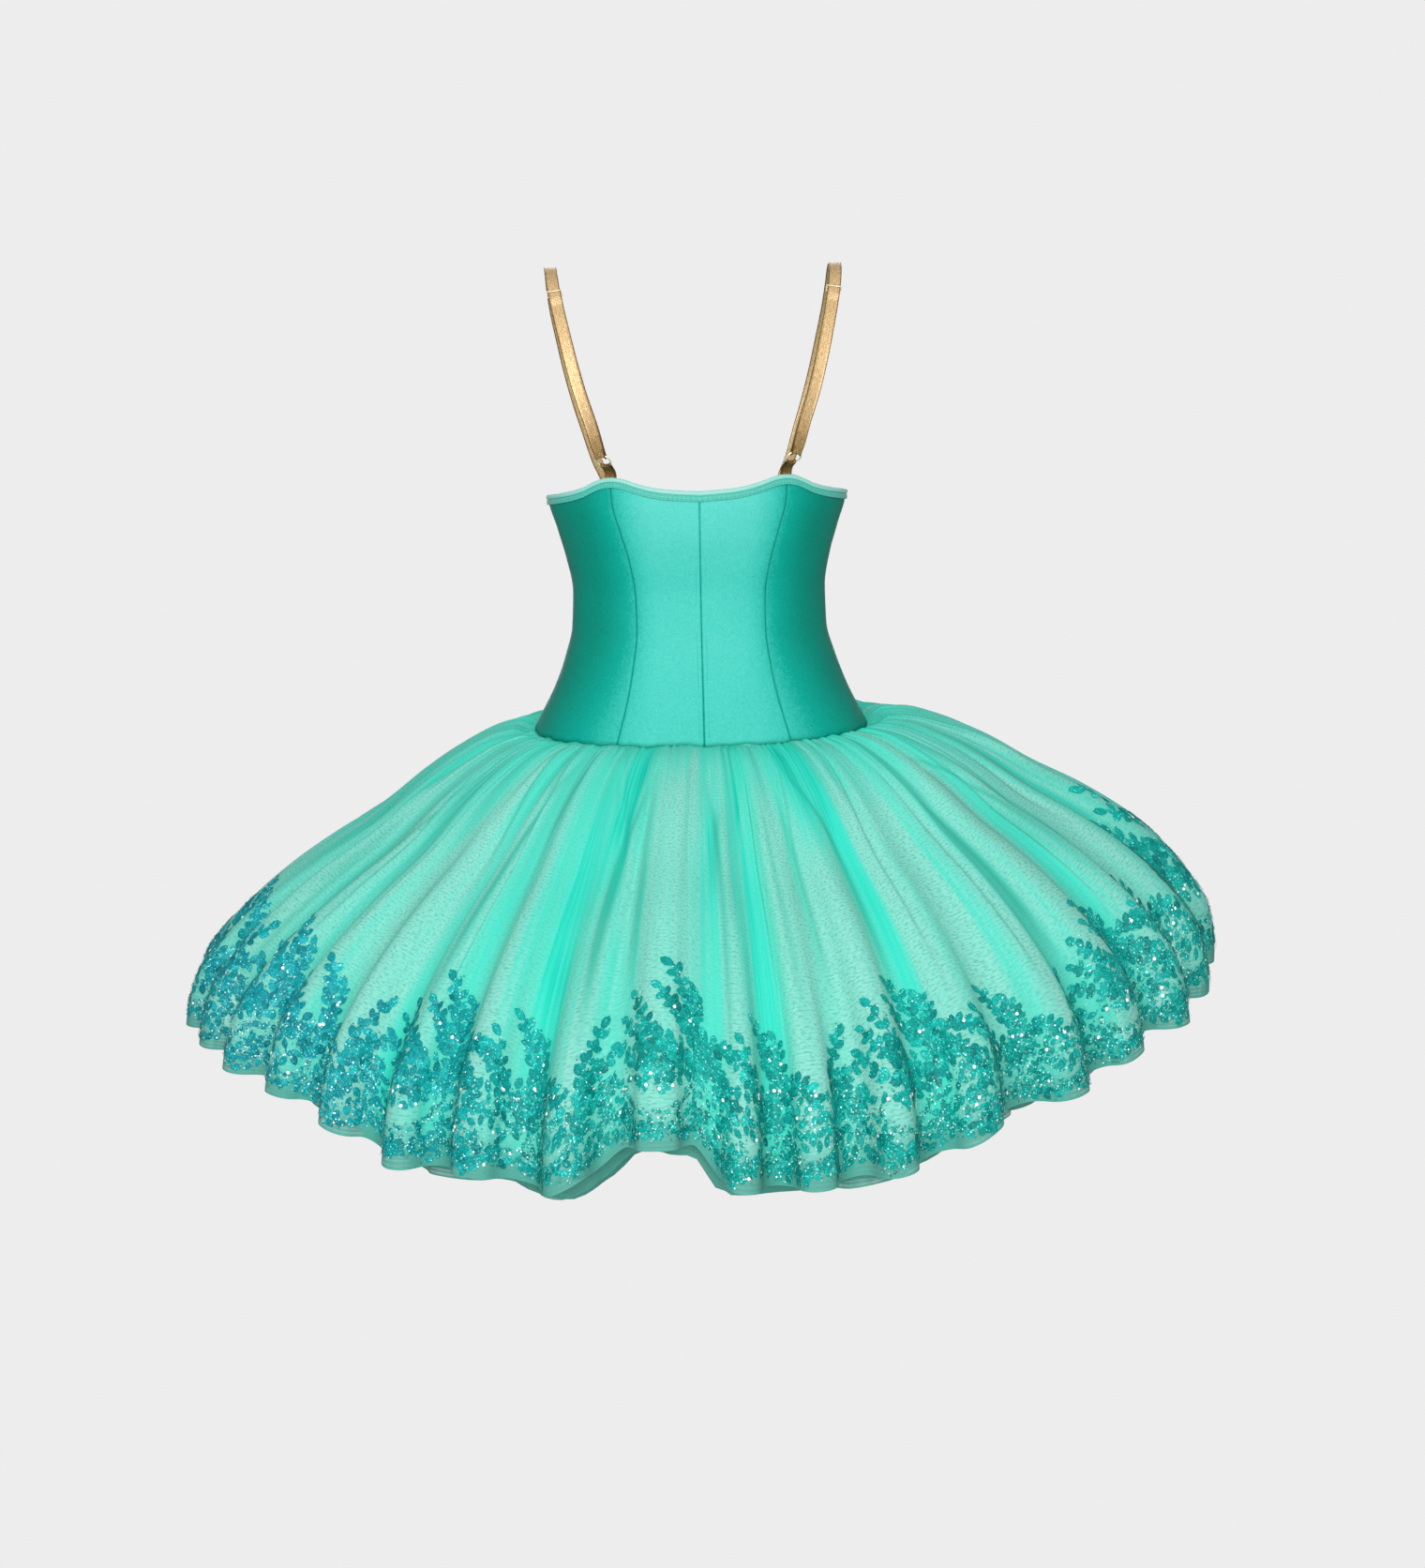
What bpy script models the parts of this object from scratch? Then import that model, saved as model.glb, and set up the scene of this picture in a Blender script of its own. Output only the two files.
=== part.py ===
"""Ballet tutu in its worn shape, hollow: a princess-seamed camisole bodice, gold elastic straps
with rings and sliders, and a gathered tulle skirt of three layers.

Metres, +Z up, +Y towards the wearer's front, +X towards the wearer's right. The origin lies midway
between the two straps, level with their undersides on top of the shoulders.
"""

import math
from collections import namedtuple

import bmesh
import bpy
from mathutils import Vector

# Cloth
BODICE_WALL = 0.0012
TULLE_WALL = 0.0010
SEAM_GAP = 0.0003
CREASE_ANGLE = math.radians(50)  # shading turns sharp where faces meet at more than this

# Bodice
TORSO_SQUARENESS = 2.25  # exponent of the body's cross sections, where 2 is an ellipse
SEAM_DROP = 0.462  # from the shoulders down to the seam between bodice and skirt
SIDE_SEAM_ANGLE = math.radians(97)
PANEL_ROWS = 12
PANEL_FITTING_ROUNDS = 6  # a seam's angle and the top edge's height depend on each other
TORSO_NORMAL_STEP = 0.002

Section = namedtuple("Section", "drop half_width back_depth front_depth princess_share")
BODICE_SECTIONS = (
    Section(0.150, 0.1460, 0.090, 0.1120, 0.595),
    Section(0.190, 0.1490, 0.095, 0.1150, 0.585),
    Section(0.225, 0.1500, 0.099, 0.1180, 0.568),
    Section(0.257, 0.1413, 0.095, 0.1170, 0.545),
    Section(0.286, 0.1335, 0.089, 0.1090, 0.518),
    Section(0.320, 0.1280, 0.085, 0.0990, 0.500),
    Section(0.357, 0.1295, 0.088, 0.0945, 0.494),
    Section(0.386, 0.1370, 0.096, 0.0960, 0.494),
    Section(0.416, 0.1480, 0.106, 0.1000, 0.497),
    Section(0.462, 0.1710, 0.119, 0.1070, 0.503),
)

# The bodice's panels, round from the centre back over the right side, each between two seams
Panel = namedtuple("Panel", "name first_seam last_seam columns")
PANELS = (
    Panel("bodice_back_centre_right", "centre_back", "right_princess", 6),
    Panel("bodice_back_side_right", "right_princess", "right_side", 9),
    Panel("bodice_front", "right_side", "left_side", 23),
    Panel("bodice_back_side_left", "left_side", "left_princess", 9),
    Panel("bodice_back_centre_left", "left_princess", "centre_back_again", 6),
)

# The bodice's top edge, from the centre back round one side to the centre front
EdgePoint = namedtuple("EdgePoint", "degrees drop")
TOP_EDGE = (
    EdgePoint(0, 0.2179),
    EdgePoint(11, 0.2155),
    EdgePoint(17.5, 0.2125),
    EdgePoint(22.5, 0.2090),
    EdgePoint(27.5, 0.2053),
    EdgePoint(32, 0.2040),
    EdgePoint(36, 0.2050),
    EdgePoint(41, 0.2088),
    EdgePoint(47, 0.2142),
    EdgePoint(57, 0.2190),
    EdgePoint(70, 0.2225),
    EdgePoint(85, 0.2255),
    EdgePoint(97, 0.2275),
    EdgePoint(112, 0.2355),
    EdgePoint(124, 0.2365),
    EdgePoint(135, 0.2300),
    EdgePoint(144, 0.2265),
    EdgePoint(152, 0.2290),
    EdgePoint(165, 0.2375),
    EdgePoint(180, 0.2410),
)

# Binding folded over the top edge: its cross section
BindingPoint = namedtuple("BindingPoint", "out_from_cloth up_from_edge")
BINDING_SECTION = (
    BindingPoint(0.0005, -0.0090),
    BindingPoint(0.0015, -0.0090),
    BindingPoint(0.0017, 0.0000),
    BindingPoint(0.0013, 0.0022),
    BindingPoint(0.0002, 0.0030),
    BindingPoint(-0.0010, 0.0028),
    BindingPoint(-0.0016, 0.0018),
    BindingPoint(-0.0016, 0.0004),
    BindingPoint(0.0005, 0.0004),
)

# Straps
STRAP_WIDTH = 0.0125
TAB_WIDTH = 0.0115
STRAP_THICKNESS = 0.0010
STRAP_BACK_DEGREES = 33
STRAP_FRONT_DEGREES = 144
STRAP_SEWN_LENGTH = 0.012  # of each end, inside the bodice
STRAP_END_HEIGHTS = (-STRAP_SEWN_LENGTH, -0.004, 0.0055)  # of the route's end points over the edge
STRAP_END_MARGIN = 0.0005  # between the route's end and the cloth's
STRAP_BACK_INSET = 0.0038  # from the bodice's outer face to the middle of the doubled end
STRAP_FRONT_INSET = 0.0033
STRAP_LAYER_OFFSET = 0.0008  # of each layer of the doubled strap from the route's middle
STRAP_ACROSS = (-1, -0.4, 0.4, 1)  # where its lengthwise lines run, as shares of half its width
STRAP_DOUBLED_SPANS = 6
STRAP_SINGLE_SPANS = 14
ROUTE_SAMPLES_PER_SPAN = 24
ROUTE_DIRECTION_SAMPLES = 4

# The ring between each strap and its short tab
RING_RADIUS = 0.0075
RING_WIRE = 0.0008
RING_SIDES = 18
RING_WIRE_SIDES = 6
RING_CLEARANCE = 0.0005
RING_HEIGHT_ABOVE_EDGE = 0.0255  # along the strap, from the top edge to the ring's centre
RING_TURN_STEPS = 6
RING_NARROWING = 0.0009  # of each edge of the cloth, where it passes round the ring
RING_FADE = 0.012  # along the cloth, from the ring to where it is flat and full again
TAB_CLOSED_FROM_RING = 0.006  # along it, from the wire to where its two layers lie together
STRAP_CLOSED_FROM_RING = 0.009

# The slider, a flat frame with two slots side by side along the strap
SLIDER_FROM_RING = 0.176  # along the strap
SLIDER_WIDTH = 0.0152
SLIDER_RAIL = 0.0011
SLIDER_BAR = 0.0012
SLIDER_SLOT = 0.0024
SLIDER_OUT = 0.0019  # of the slider's middle plane from the route's middle
SLIDER_EMPTY_CELLS = {(1, 1), (3, 1)}
SLIDER_TAIL = 0.004  # of the strap's end beyond the bar that it turns round

# The strap's two layers at the slider, by distance from its middle bar
StrapPoint = namedtuple("StrapPoint", "along out")
STRAP_BELOW_SLIDER_OUTSIDE = 0.0055
STRAP_OUTER_LAYER = StrapPoint(-0.014, 0.0012)
STRAP_INNER_LAYER = StrapPoint(-0.012, -0.0009)
STRAP_BEHIND_SLIDER = (
    StrapPoint(-0.005, -0.0012),
    StrapPoint(0.006, -0.0012),
    StrapPoint(0.018, 0.0),
)

# The way of the right strap over the shoulder, between its sewn ends. Yaw turns its face outwards.
RoutePoint = namedtuple("RoutePoint", "x y z yaw")
STRAP_ROUTE = (
    RoutePoint(0.0939, -0.0930, -0.1815, 22),
    RoutePoint(0.1031, -0.0962, -0.1500, 17),
    RoutePoint(0.1128, -0.0935, -0.1200, 13),
    RoutePoint(0.1209, -0.0860, -0.0900, 9),
    RoutePoint(0.1274, -0.0755, -0.0630, 6),
    RoutePoint(0.1328, -0.0630, -0.0400, 4),
    RoutePoint(0.1373, -0.0450, -0.0190, 2),
    RoutePoint(0.1399, -0.0230, -0.0045, 0),
    RoutePoint(0.1409, 0.0000, 0.0005, 0),
    RoutePoint(0.1414, 0.0240, -0.0045, 0),
    RoutePoint(0.1410, 0.0460, -0.0200, -2),
    RoutePoint(0.1385, 0.0650, -0.0440, -4),
    RoutePoint(0.1336, 0.0790, -0.0720, -7),
    RoutePoint(0.1277, 0.0890, -0.1020, -11),
    RoutePoint(0.1200, 0.0960, -0.1340, -16),
    RoutePoint(0.1107, 0.0998, -0.1660, -22),
    RoutePoint(0.1010, 0.1000, -0.1980, -29),
)

# Skirt: its seam allowance stands up inside the bodice's lower edge
ALLOWANCE_SHARE = -0.015
ALLOWANCE_RISE = 0.006
ALLOWANCE_DEPTH = 0.0022

# How far the skirt's cloth lies out from the bodice seam and down from it, at the side
HEM_HALF_WIDTH = 0.521
HEM_BACK_DEPTH = 0.472
HEM_FRONT_DEPTH = 0.470
SKIRT_NORMAL_STEP = 0.01
ProfilePoint = namedtuple("ProfilePoint", "share out down")
SKIRT_PROFILE = (
    ProfilePoint(0.000, -0.0012, 0.0020),
    ProfilePoint(0.020, 0.0075, 0.0026),
    ProfilePoint(0.050, 0.0220, -0.0040),
    ProfilePoint(0.090, 0.0430, -0.0010),
    ProfilePoint(0.170, 0.0820, 0.0150),
    ProfilePoint(0.270, 0.1220, 0.0390),
    ProfilePoint(0.400, 0.1720, 0.0770),
    ProfilePoint(0.520, 0.2220, 0.1100),
    ProfilePoint(0.650, 0.2720, 0.1500),
    ProfilePoint(0.780, 0.3160, 0.1960),
    ProfilePoint(0.880, 0.3410, 0.2350),
    ProfilePoint(1.000, 0.3540, 0.2920),
    ProfilePoint(1.080, 0.3570, 0.3320),
)

# The overlay's hem, all round: how far below the shoulders it hangs, how far the cloth above it sags
# below the side's own curve, and how far the hem is drawn in. Degrees run from the centre back,
# positive towards the right.
HEM_INWARD_GROWTH = 6  # the power of the share with which the cloth is drawn in
HemPoint = namedtuple("HemPoint", "degrees drop sag inward")
HEM = (
    HemPoint(-180, 0.740, 0.000, 0.000),
    HemPoint(-120, 0.748, 0.010, 0.000),
    HemPoint(-90, 0.745, 0.018, 0.005),
    HemPoint(-70, 0.738, 0.018, 0.005),
    HemPoint(-50, 0.744, 0.012, 0.000),
    HemPoint(-40, 0.764, 0.006, 0.000),
    HemPoint(-33, 0.784, 0.000, 0.000),
    HemPoint(-25, 0.782, 0.000, 0.000),
    HemPoint(-17, 0.792, 0.000, 0.000),
    HemPoint(-13, 0.776, 0.000, 0.000),
    HemPoint(-9, 0.750, 0.000, 0.000),
    HemPoint(-3, 0.748, 0.000, 0.000),
    HemPoint(1, 0.786, 0.000, 0.000),
    HemPoint(8, 0.790, 0.000, 0.000),
    HemPoint(16, 0.784, 0.000, 0.000),
    HemPoint(23, 0.772, 0.000, 0.000),
    HemPoint(31, 0.746, 0.000, 0.000),
    HemPoint(38, 0.740, 0.000, 0.000),
    HemPoint(50, 0.720, -0.001, 0.004),
    HemPoint(62, 0.712, -0.003, 0.009),
    HemPoint(80, 0.702, -0.006, 0.017),
    HemPoint(95, 0.702, -0.006, 0.017),
    HemPoint(120, 0.716, 0.000, 0.008),
    HemPoint(150, 0.732, 0.000, 0.000),
    HemPoint(180, 0.740, 0.000, 0.000),
)

# The overlay's folds, all round: where each ridge lies and how high it stands
FoldRidge = namedtuple("FoldRidge", "degrees height")
OVERLAY_RIDGES = (
    FoldRidge(-174, 0.014),
    FoldRidge(-161, 0.017),
    FoldRidge(-148, 0.013),
    FoldRidge(-135, 0.018),
    FoldRidge(-123, 0.015),
    FoldRidge(-112, 0.013),
    FoldRidge(-101, 0.017),
    FoldRidge(-90, 0.014),
    FoldRidge(-79, 0.017),
    FoldRidge(-69, 0.015),
    FoldRidge(-59, 0.018),
    FoldRidge(-50, 0.013),
    FoldRidge(-41, 0.015),
    FoldRidge(-33, 0.019),
    FoldRidge(-25, 0.013),
    FoldRidge(-15, 0.021),
    FoldRidge(-6, 0.010),
    FoldRidge(2, 0.021),
    FoldRidge(9, 0.015),
    FoldRidge(17, 0.017),
    FoldRidge(26, 0.014),
    FoldRidge(37, 0.018),
    FoldRidge(47, 0.013),
    FoldRidge(57, 0.018),
    FoldRidge(68, 0.015),
    FoldRidge(80, 0.017),
    FoldRidge(93, 0.014),
    FoldRidge(106, 0.017),
    FoldRidge(119, 0.013),
    FoldRidge(132, 0.017),
    FoldRidge(145, 0.014),
    FoldRidge(158, 0.017),
    FoldRidge(171, 0.013),
)

# Each skirt layer: depth is how far inside the overlay its middle lies, at the seam and at the hem.
# Each fold is drawn with a number of columns, and so many columns in all make a gather at the waist.
Layer = namedtuple(
    "Layer",
    "name ridges folds fold_height fold_columns gather_columns gather_height"
    " seam_depth hem_depth hem_share colour shares",
)
LAYERS = (
    Layer(
        name="skirt_overlay",
        ridges=OVERLAY_RIDGES,
        folds=len(OVERLAY_RIDGES),
        fold_height=None,
        fold_columns=5,
        gather_columns=4,
        gather_height=0.0028,
        seam_depth=0.0,
        hem_depth=0.0,
        hem_share=1.0,
        colour=(0.42, 0.86, 0.77),
        shares=(ALLOWANCE_SHARE, 0.0, 0.02, 0.05, 0.12, 0.24, 0.40, 0.58, 0.79, 1.0),
    ),
    Layer(
        name="skirt_middle",
        ridges=None,
        folds=24,
        fold_height=0.011,
        fold_columns=4,
        gather_columns=4,
        gather_height=0.0016,
        seam_depth=0.0020,
        hem_depth=0.038,
        hem_share=1.030,
        colour=(0.40, 0.85, 0.76),
        shares=(ALLOWANCE_SHARE, 0.0, 0.02, 0.05, 0.14, 0.40, 0.70, 1.0),
    ),
    Layer(
        name="skirt_bottom",
        ridges=None,
        folds=18,
        fold_height=0.010,
        fold_columns=4,
        gather_columns=4,
        gather_height=0.0012,
        seam_depth=0.0040,
        hem_depth=0.064,
        hem_share=1.045,
        colour=(0.55, 0.80, 0.74),
        shares=(ALLOWANCE_SHARE, 0.0, 0.02, 0.05, 0.16, 0.52, 1.0),
    ),
)
FOLD_OVERHANG = 0.62  # how far the sides of a fold lean under its ridge, where 1 is upright
FOLD_GROWTH = 1.5  # the power of the share with which folds grow from the seam
DEPTH_GROWTH = 0.7
MITRE_LIMIT = 1.5

# The lower layers' folds stray from even spacing and height by these shares, on a wave round the waist
FOLD_STRAY = 0.16
FOLD_STRAY_STEP = 2.4
FOLD_UNEVENNESS = 0.14
FOLD_UNEVENNESS_STEP = 1.7

# Gathers swell below the seam, fade towards the hem, and never end altogether
GATHER_FULL_SHARE = 0.12
GATHER_FADE_SHARE = 0.15
GATHER_FADE_LENGTH = 0.55
GATHER_LEAST = 0.1
GATHER_LEAST_SHARE = 0.04

TEAL = (0.05, 0.62, 0.53)
PALE_TEAL = (0.45, 0.82, 0.75)
GOLD_CLOTH = (0.80, 0.62, 0.36)
GOLD_METAL = (0.90, 0.76, 0.48)


def clear_scene():
    for obj in list(bpy.data.objects):
        bpy.data.objects.remove(obj, do_unlink=True)


def make_material(name, colour, roughness, metallic=0.0):
    material = bpy.data.materials.new(name)
    material.use_nodes = True
    shader = material.node_tree.nodes["Principled BSDF"]
    shader.inputs["Base Color"].default_value = (*colour, 1.0)
    shader.inputs["Roughness"].default_value = roughness
    shader.inputs["Metallic"].default_value = metallic
    return material


def smooth_column(rows, key, column, at):
    """The value of a table's column at a key between its rows, on a smooth curve that never overshoots."""
    keys = [getattr(row, key) for row in rows]
    values = [getattr(row, column) for row in rows]
    at = min(max(at, keys[0]), keys[-1])
    i = max(j for j in range(len(keys) - 1) if keys[j] <= at)
    slopes = [
        (values[j + 1] - values[j]) / (keys[j + 1] - keys[j]) for j in range(len(keys) - 1)
    ]

    def tangent(j):
        if j == 0 or j == len(keys) - 1:
            return slopes[0 if j == 0 else -1]
        before, after = slopes[j - 1], slopes[j]
        if before * after <= 0:
            return 0.0
        return 2 * before * after / (before + after)

    width = keys[i + 1] - keys[i]
    t = (at - keys[i]) / width
    return (
        (2 * t**3 - 3 * t**2 + 1) * values[i]
        + (t**3 - 2 * t**2 + t) * width * tangent(i)
        + (3 * t**2 - 2 * t**3) * values[i + 1]
        + (t**3 - t**2) * width * tangent(i + 1)
    )


def signed_power(value, exponent):
    return math.copysign(abs(value) ** exponent, value)


def ease(value):
    """0 to 1 with level ends."""
    value = min(max(value, 0.0), 1.0)
    return value * value * (3 - 2 * value)


# The worn bodice's surface. Angles run from the centre back, positive towards +X.


def torso_point(angle, drop):
    half_width = smooth_column(BODICE_SECTIONS, "drop", "half_width", drop)
    side = "back_depth" if math.cos(angle) > 0 else "front_depth"
    depth = smooth_column(BODICE_SECTIONS, "drop", side, drop)
    exponent = 2 / TORSO_SQUARENESS
    return Vector((
        half_width * signed_power(math.sin(angle), exponent),
        -depth * signed_power(math.cos(angle), exponent),
        -drop,
    ))


def torso_up(angle, drop):
    return torso_point(angle, drop - TORSO_NORMAL_STEP) - torso_point(angle, drop + TORSO_NORMAL_STEP)


def torso_normal(angle, drop):
    step = TORSO_NORMAL_STEP
    across = torso_point(angle + step, drop) - torso_point(angle - step, drop)
    return across.cross(torso_up(angle, drop)).normalized()


def top_edge_drop(angle):
    degrees = math.degrees(angle) % 360
    return smooth_column(TOP_EDGE, "degrees", "drop", min(degrees, 360 - degrees))


def seam_angle(seam, drop):
    """Where a seam runs at a level, round from the centre back over the right side."""
    share = smooth_column(BODICE_SECTIONS, "drop", "princess_share", drop)
    princess = math.asin(share ** (TORSO_SQUARENESS / 2))
    return {
        "centre_back": 0.0,
        "right_princess": princess,
        "right_side": SIDE_SEAM_ANGLE,
        "left_side": 2 * math.pi - SIDE_SEAM_ANGLE,
        "left_princess": 2 * math.pi - princess,
        "centre_back_again": 2 * math.pi,
    }[seam]


def panel_place(panel, down_share, across_share, seam_gap=SEAM_GAP):
    """(angle, drop) of a place on a panel, by its shares of the way down and across."""
    drop = SEAM_DROP
    for _ in range(PANEL_FITTING_ROUNDS):
        start, end = (seam_angle(seam, drop) for seam in (panel.first_seam, panel.last_seam))
        inset = seam_gap / 2 / torso_point(start, drop).xy.length
        angle = start + inset + (end - start - 2 * inset) * across_share
        top = top_edge_drop(angle)
        drop = top + (SEAM_DROP - top) * down_share
    return angle, drop


def make_object(name, bm, material):
    bmesh.ops.recalc_face_normals(bm, faces=bm.faces)
    mesh = bpy.data.meshes.new(name)
    bm.to_mesh(mesh)
    bm.free()
    mesh.materials.append(material)
    mesh.shade_smooth()
    mesh.set_sharp_from_angle(angle=CREASE_ANGLE)
    obj = bpy.data.objects.new(name, mesh)
    bpy.context.scene.collection.objects.link(obj)
    return obj


def make_wall(name, outer, inner, material, closed=False):
    """A closed solid between two grids of points, rows by columns. A closed one runs all round."""
    bm = bmesh.new()
    outside = [[bm.verts.new(p) for p in row] for row in outer]
    inside = [[bm.verts.new(p) for p in row] for row in inner]
    rows, columns = len(outer), len(outer[0])
    spans = [(j, (j + 1) % columns) for j in range(columns if closed else columns - 1)]
    for i in range(rows - 1):
        for j, k in spans:
            bm.faces.new((outside[i][j], outside[i][k], outside[i + 1][k], outside[i + 1][j]))
            bm.faces.new((inside[i][j], inside[i + 1][j], inside[i + 1][k], inside[i][k]))
    for i in (0, rows - 1):
        for j, k in spans:
            bm.faces.new((outside[i][j], inside[i][j], inside[i][k], outside[i][k]))
    if not closed:
        for j in (0, columns - 1):
            for i in range(rows - 1):
                bm.faces.new((outside[i][j], outside[i + 1][j], inside[i + 1][j], inside[i][j]))
    make_object(name, bm, material)


def make_hoop(name, loops, material):
    """A closed solid through loops of points that follow each other all round."""
    bm = bmesh.new()
    rings = [[bm.verts.new(p) for p in loop] for loop in loops]
    count = len(rings[0])
    for a, b in zip(rings, rings[1:] + rings[:1]):
        for i in range(count):
            k = (i + 1) % count
            bm.faces.new((a[i], a[k], b[k], b[i]))
    make_object(name, bm, material)


def make_panel(panel, material):
    outer, inner = [], []
    for i in range(PANEL_ROWS):
        places = [
            panel_place(panel, i / (PANEL_ROWS - 1), j / (panel.columns - 1)) for j in range(panel.columns)
        ]
        outer.append([torso_point(*place) for place in places])
        inner.append([torso_point(*place) - BODICE_WALL * torso_normal(*place) for place in places])
    make_wall(panel.name, outer, inner, material)


def make_binding(material):
    """One strip all round, creased where the panels' own columns stand so that it lies on them evenly."""
    loops = []
    for panel in PANELS:
        for j in range(panel.columns - 1):
            place = panel_place(panel, 0.0, j / (panel.columns - 1), seam_gap=0.0)
            edge = torso_point(*place)
            out = torso_normal(*place)
            up = torso_up(*place).normalized()
            loops.append([edge + out * p.out_from_cloth + up * p.up_from_edge for p in BINDING_SECTION])
    make_hoop("top_binding", loops, material)


# Straps


def smooth_path(points, samples):
    """Points on a smooth curve through the given ones, which hold a place and an angle each."""
    spans = [(b.xyz - a.xyz).length for a, b in zip(points, points[1:])]
    slopes = [(b - a) / span for a, b, span in zip(points, points[1:], spans)]
    tangents = [slopes[0]]
    for i in range(1, len(points) - 1):
        before, after = spans[i - 1], spans[i]
        tangents.append((slopes[i - 1] * after + slopes[i] * before) / (before + after))
    tangents.append(slopes[-1])
    found = []
    for i, span in enumerate(spans):
        for k in range(samples):
            t = k / samples
            found.append(
                points[i] * (2 * t**3 - 3 * t**2 + 1)
                + tangents[i] * span * (t**3 - 2 * t**2 + t)
                + points[i + 1] * (3 * t**2 - 2 * t**3)
                + tangents[i + 1] * span * (t**3 - t**2)
            )
    return [*found, points[-1]]


class StrapRoute:
    """The middle line of one strap, by distance along it, with the strap's own directions."""

    def __init__(self, mirror):
        self.mirror = mirror
        rows = self.sewn_end(STRAP_BACK_DEGREES, STRAP_BACK_INSET)
        rows += [(Vector((p.x, p.y, p.z)), p.yaw) for p in STRAP_ROUTE]
        rows += [
            (point, yaw - 180) for point, yaw in self.sewn_end(STRAP_FRONT_DEGREES, STRAP_FRONT_INSET)[::-1]
        ]
        joined = smooth_path(
            [Vector((*point, math.radians(yaw))) for point, yaw in rows], ROUTE_SAMPLES_PER_SPAN
        )
        self.points = [p.xyz for p in joined]
        self.yaws = [p.w for p in joined]
        self.distances = [0.0]
        for a, b in zip(self.points, self.points[1:]):
            self.distances.append(self.distances[-1] + (b - a).length)
        self.length = self.distances[-1]

    def sewn_end(self, degrees, inset):
        """The route points of an end that is sewn inside the bodice's top edge, from the end itself."""
        angle = math.radians(degrees)
        edge = top_edge_drop(angle)
        found = []
        for above in STRAP_END_HEIGHTS:
            normal = torso_normal(angle, edge - above)
            point = torso_point(angle, edge - above) - inset * normal
            found.append((point, math.degrees(math.atan2(normal.x, -normal.y))))
        return found

    def frame(self, distance):
        """(point, across, out) at a distance along the strap."""
        distance = min(max(distance, 0.0), self.length)
        i = max(j for j in range(len(self.points) - 1) if self.distances[j] <= distance)
        span = self.distances[i + 1] - self.distances[i]
        t = (distance - self.distances[i]) / span
        point = self.points[i].lerp(self.points[i + 1], t)
        yaw = self.yaws[i] + (self.yaws[i + 1] - self.yaws[i]) * t
        before = self.points[max(i - ROUTE_DIRECTION_SAMPLES, 0)]
        after = self.points[min(i + 1 + ROUTE_DIRECTION_SAMPLES, len(self.points) - 1)]
        along = (after - before).normalized()
        hint = Vector((math.cos(yaw), math.sin(yaw), 0))
        across = (hint - hint.dot(along) * along).normalized()
        return point, across, across.cross(along)

    def place(self, distance, across_by, out_by):
        point, across, out = self.frame(distance)
        placed = point + across * across_by + out * out_by
        return Vector((-placed.x, placed.y, placed.z)) if self.mirror else placed


def turn_round(centre, radius, start_degrees, end_degrees):
    """Points (distance, out) of a round turn about a wire."""
    found = []
    for k in range(RING_TURN_STEPS + 1):
        a = math.radians(start_degrees + (end_degrees - start_degrees) * k / RING_TURN_STEPS)
        found.append((centre[0] + radius * math.cos(a), centre[1] + radius * math.sin(a)))
    return found


def straight_run(start, end, out, spans):
    """Points (distance, out) of a flat stretch, from after its start to its end."""
    return [(start + (end - start) * k / spans, out) for k in range(1, spans + 1)]


def make_ribbon(name, route, path, width, material, ring_distance, bends):
    """A flat strap that follows a path of (distance, out) points. Near the ring it narrows, and its edges
    bend with the ring's wire: bends is 1 above the ring and -1 below it."""
    halves = []
    for i, (distance, out) in enumerate(path):
        before, after = path[max(i - 1, 0)], path[min(i + 1, len(path) - 1)]
        along = Vector((after[0] - before[0], after[1] - before[1])).normalized()
        normal = Vector((-along.y, along.x)) * STRAP_THICKNESS / 2
        halves.append(((distance + normal.x, out + normal.y), (distance - normal.x, out - normal.y)))
    grids = ([], [])
    for pair in halves:
        for grid, (distance, out) in zip(grids, pair):
            nearness = 1 - ease((abs(distance - ring_distance) - RING_RADIUS) / RING_FADE)
            half_width = width / 2 - RING_NARROWING * nearness
            row = []
            for share in STRAP_ACROSS:
                across = share * half_width
                bend = RING_RADIUS - math.sqrt(RING_RADIUS**2 - across**2)
                row.append(route.place(distance - bends * bend * nearness, across, out))
            grid.append(row)
    make_wall(name, grids[0], grids[1], material)


def tab_path(ring):
    """The short tab, from its sewn end round the ring's lower wire and back."""
    wire = ring - RING_RADIUS
    turn = RING_WIRE + RING_CLEARANCE + STRAP_THICKNESS / 2
    stops = (STRAP_END_MARGIN, STRAP_SEWN_LENGTH, wire - TAB_CLOSED_FROM_RING)
    path = [(stop, STRAP_LAYER_OFFSET) for stop in stops]
    path += turn_round((wire, 0.0), turn, 90, -90)
    path += [(stop, -STRAP_LAYER_OFFSET) for stop in reversed(stops)]
    return path


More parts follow.
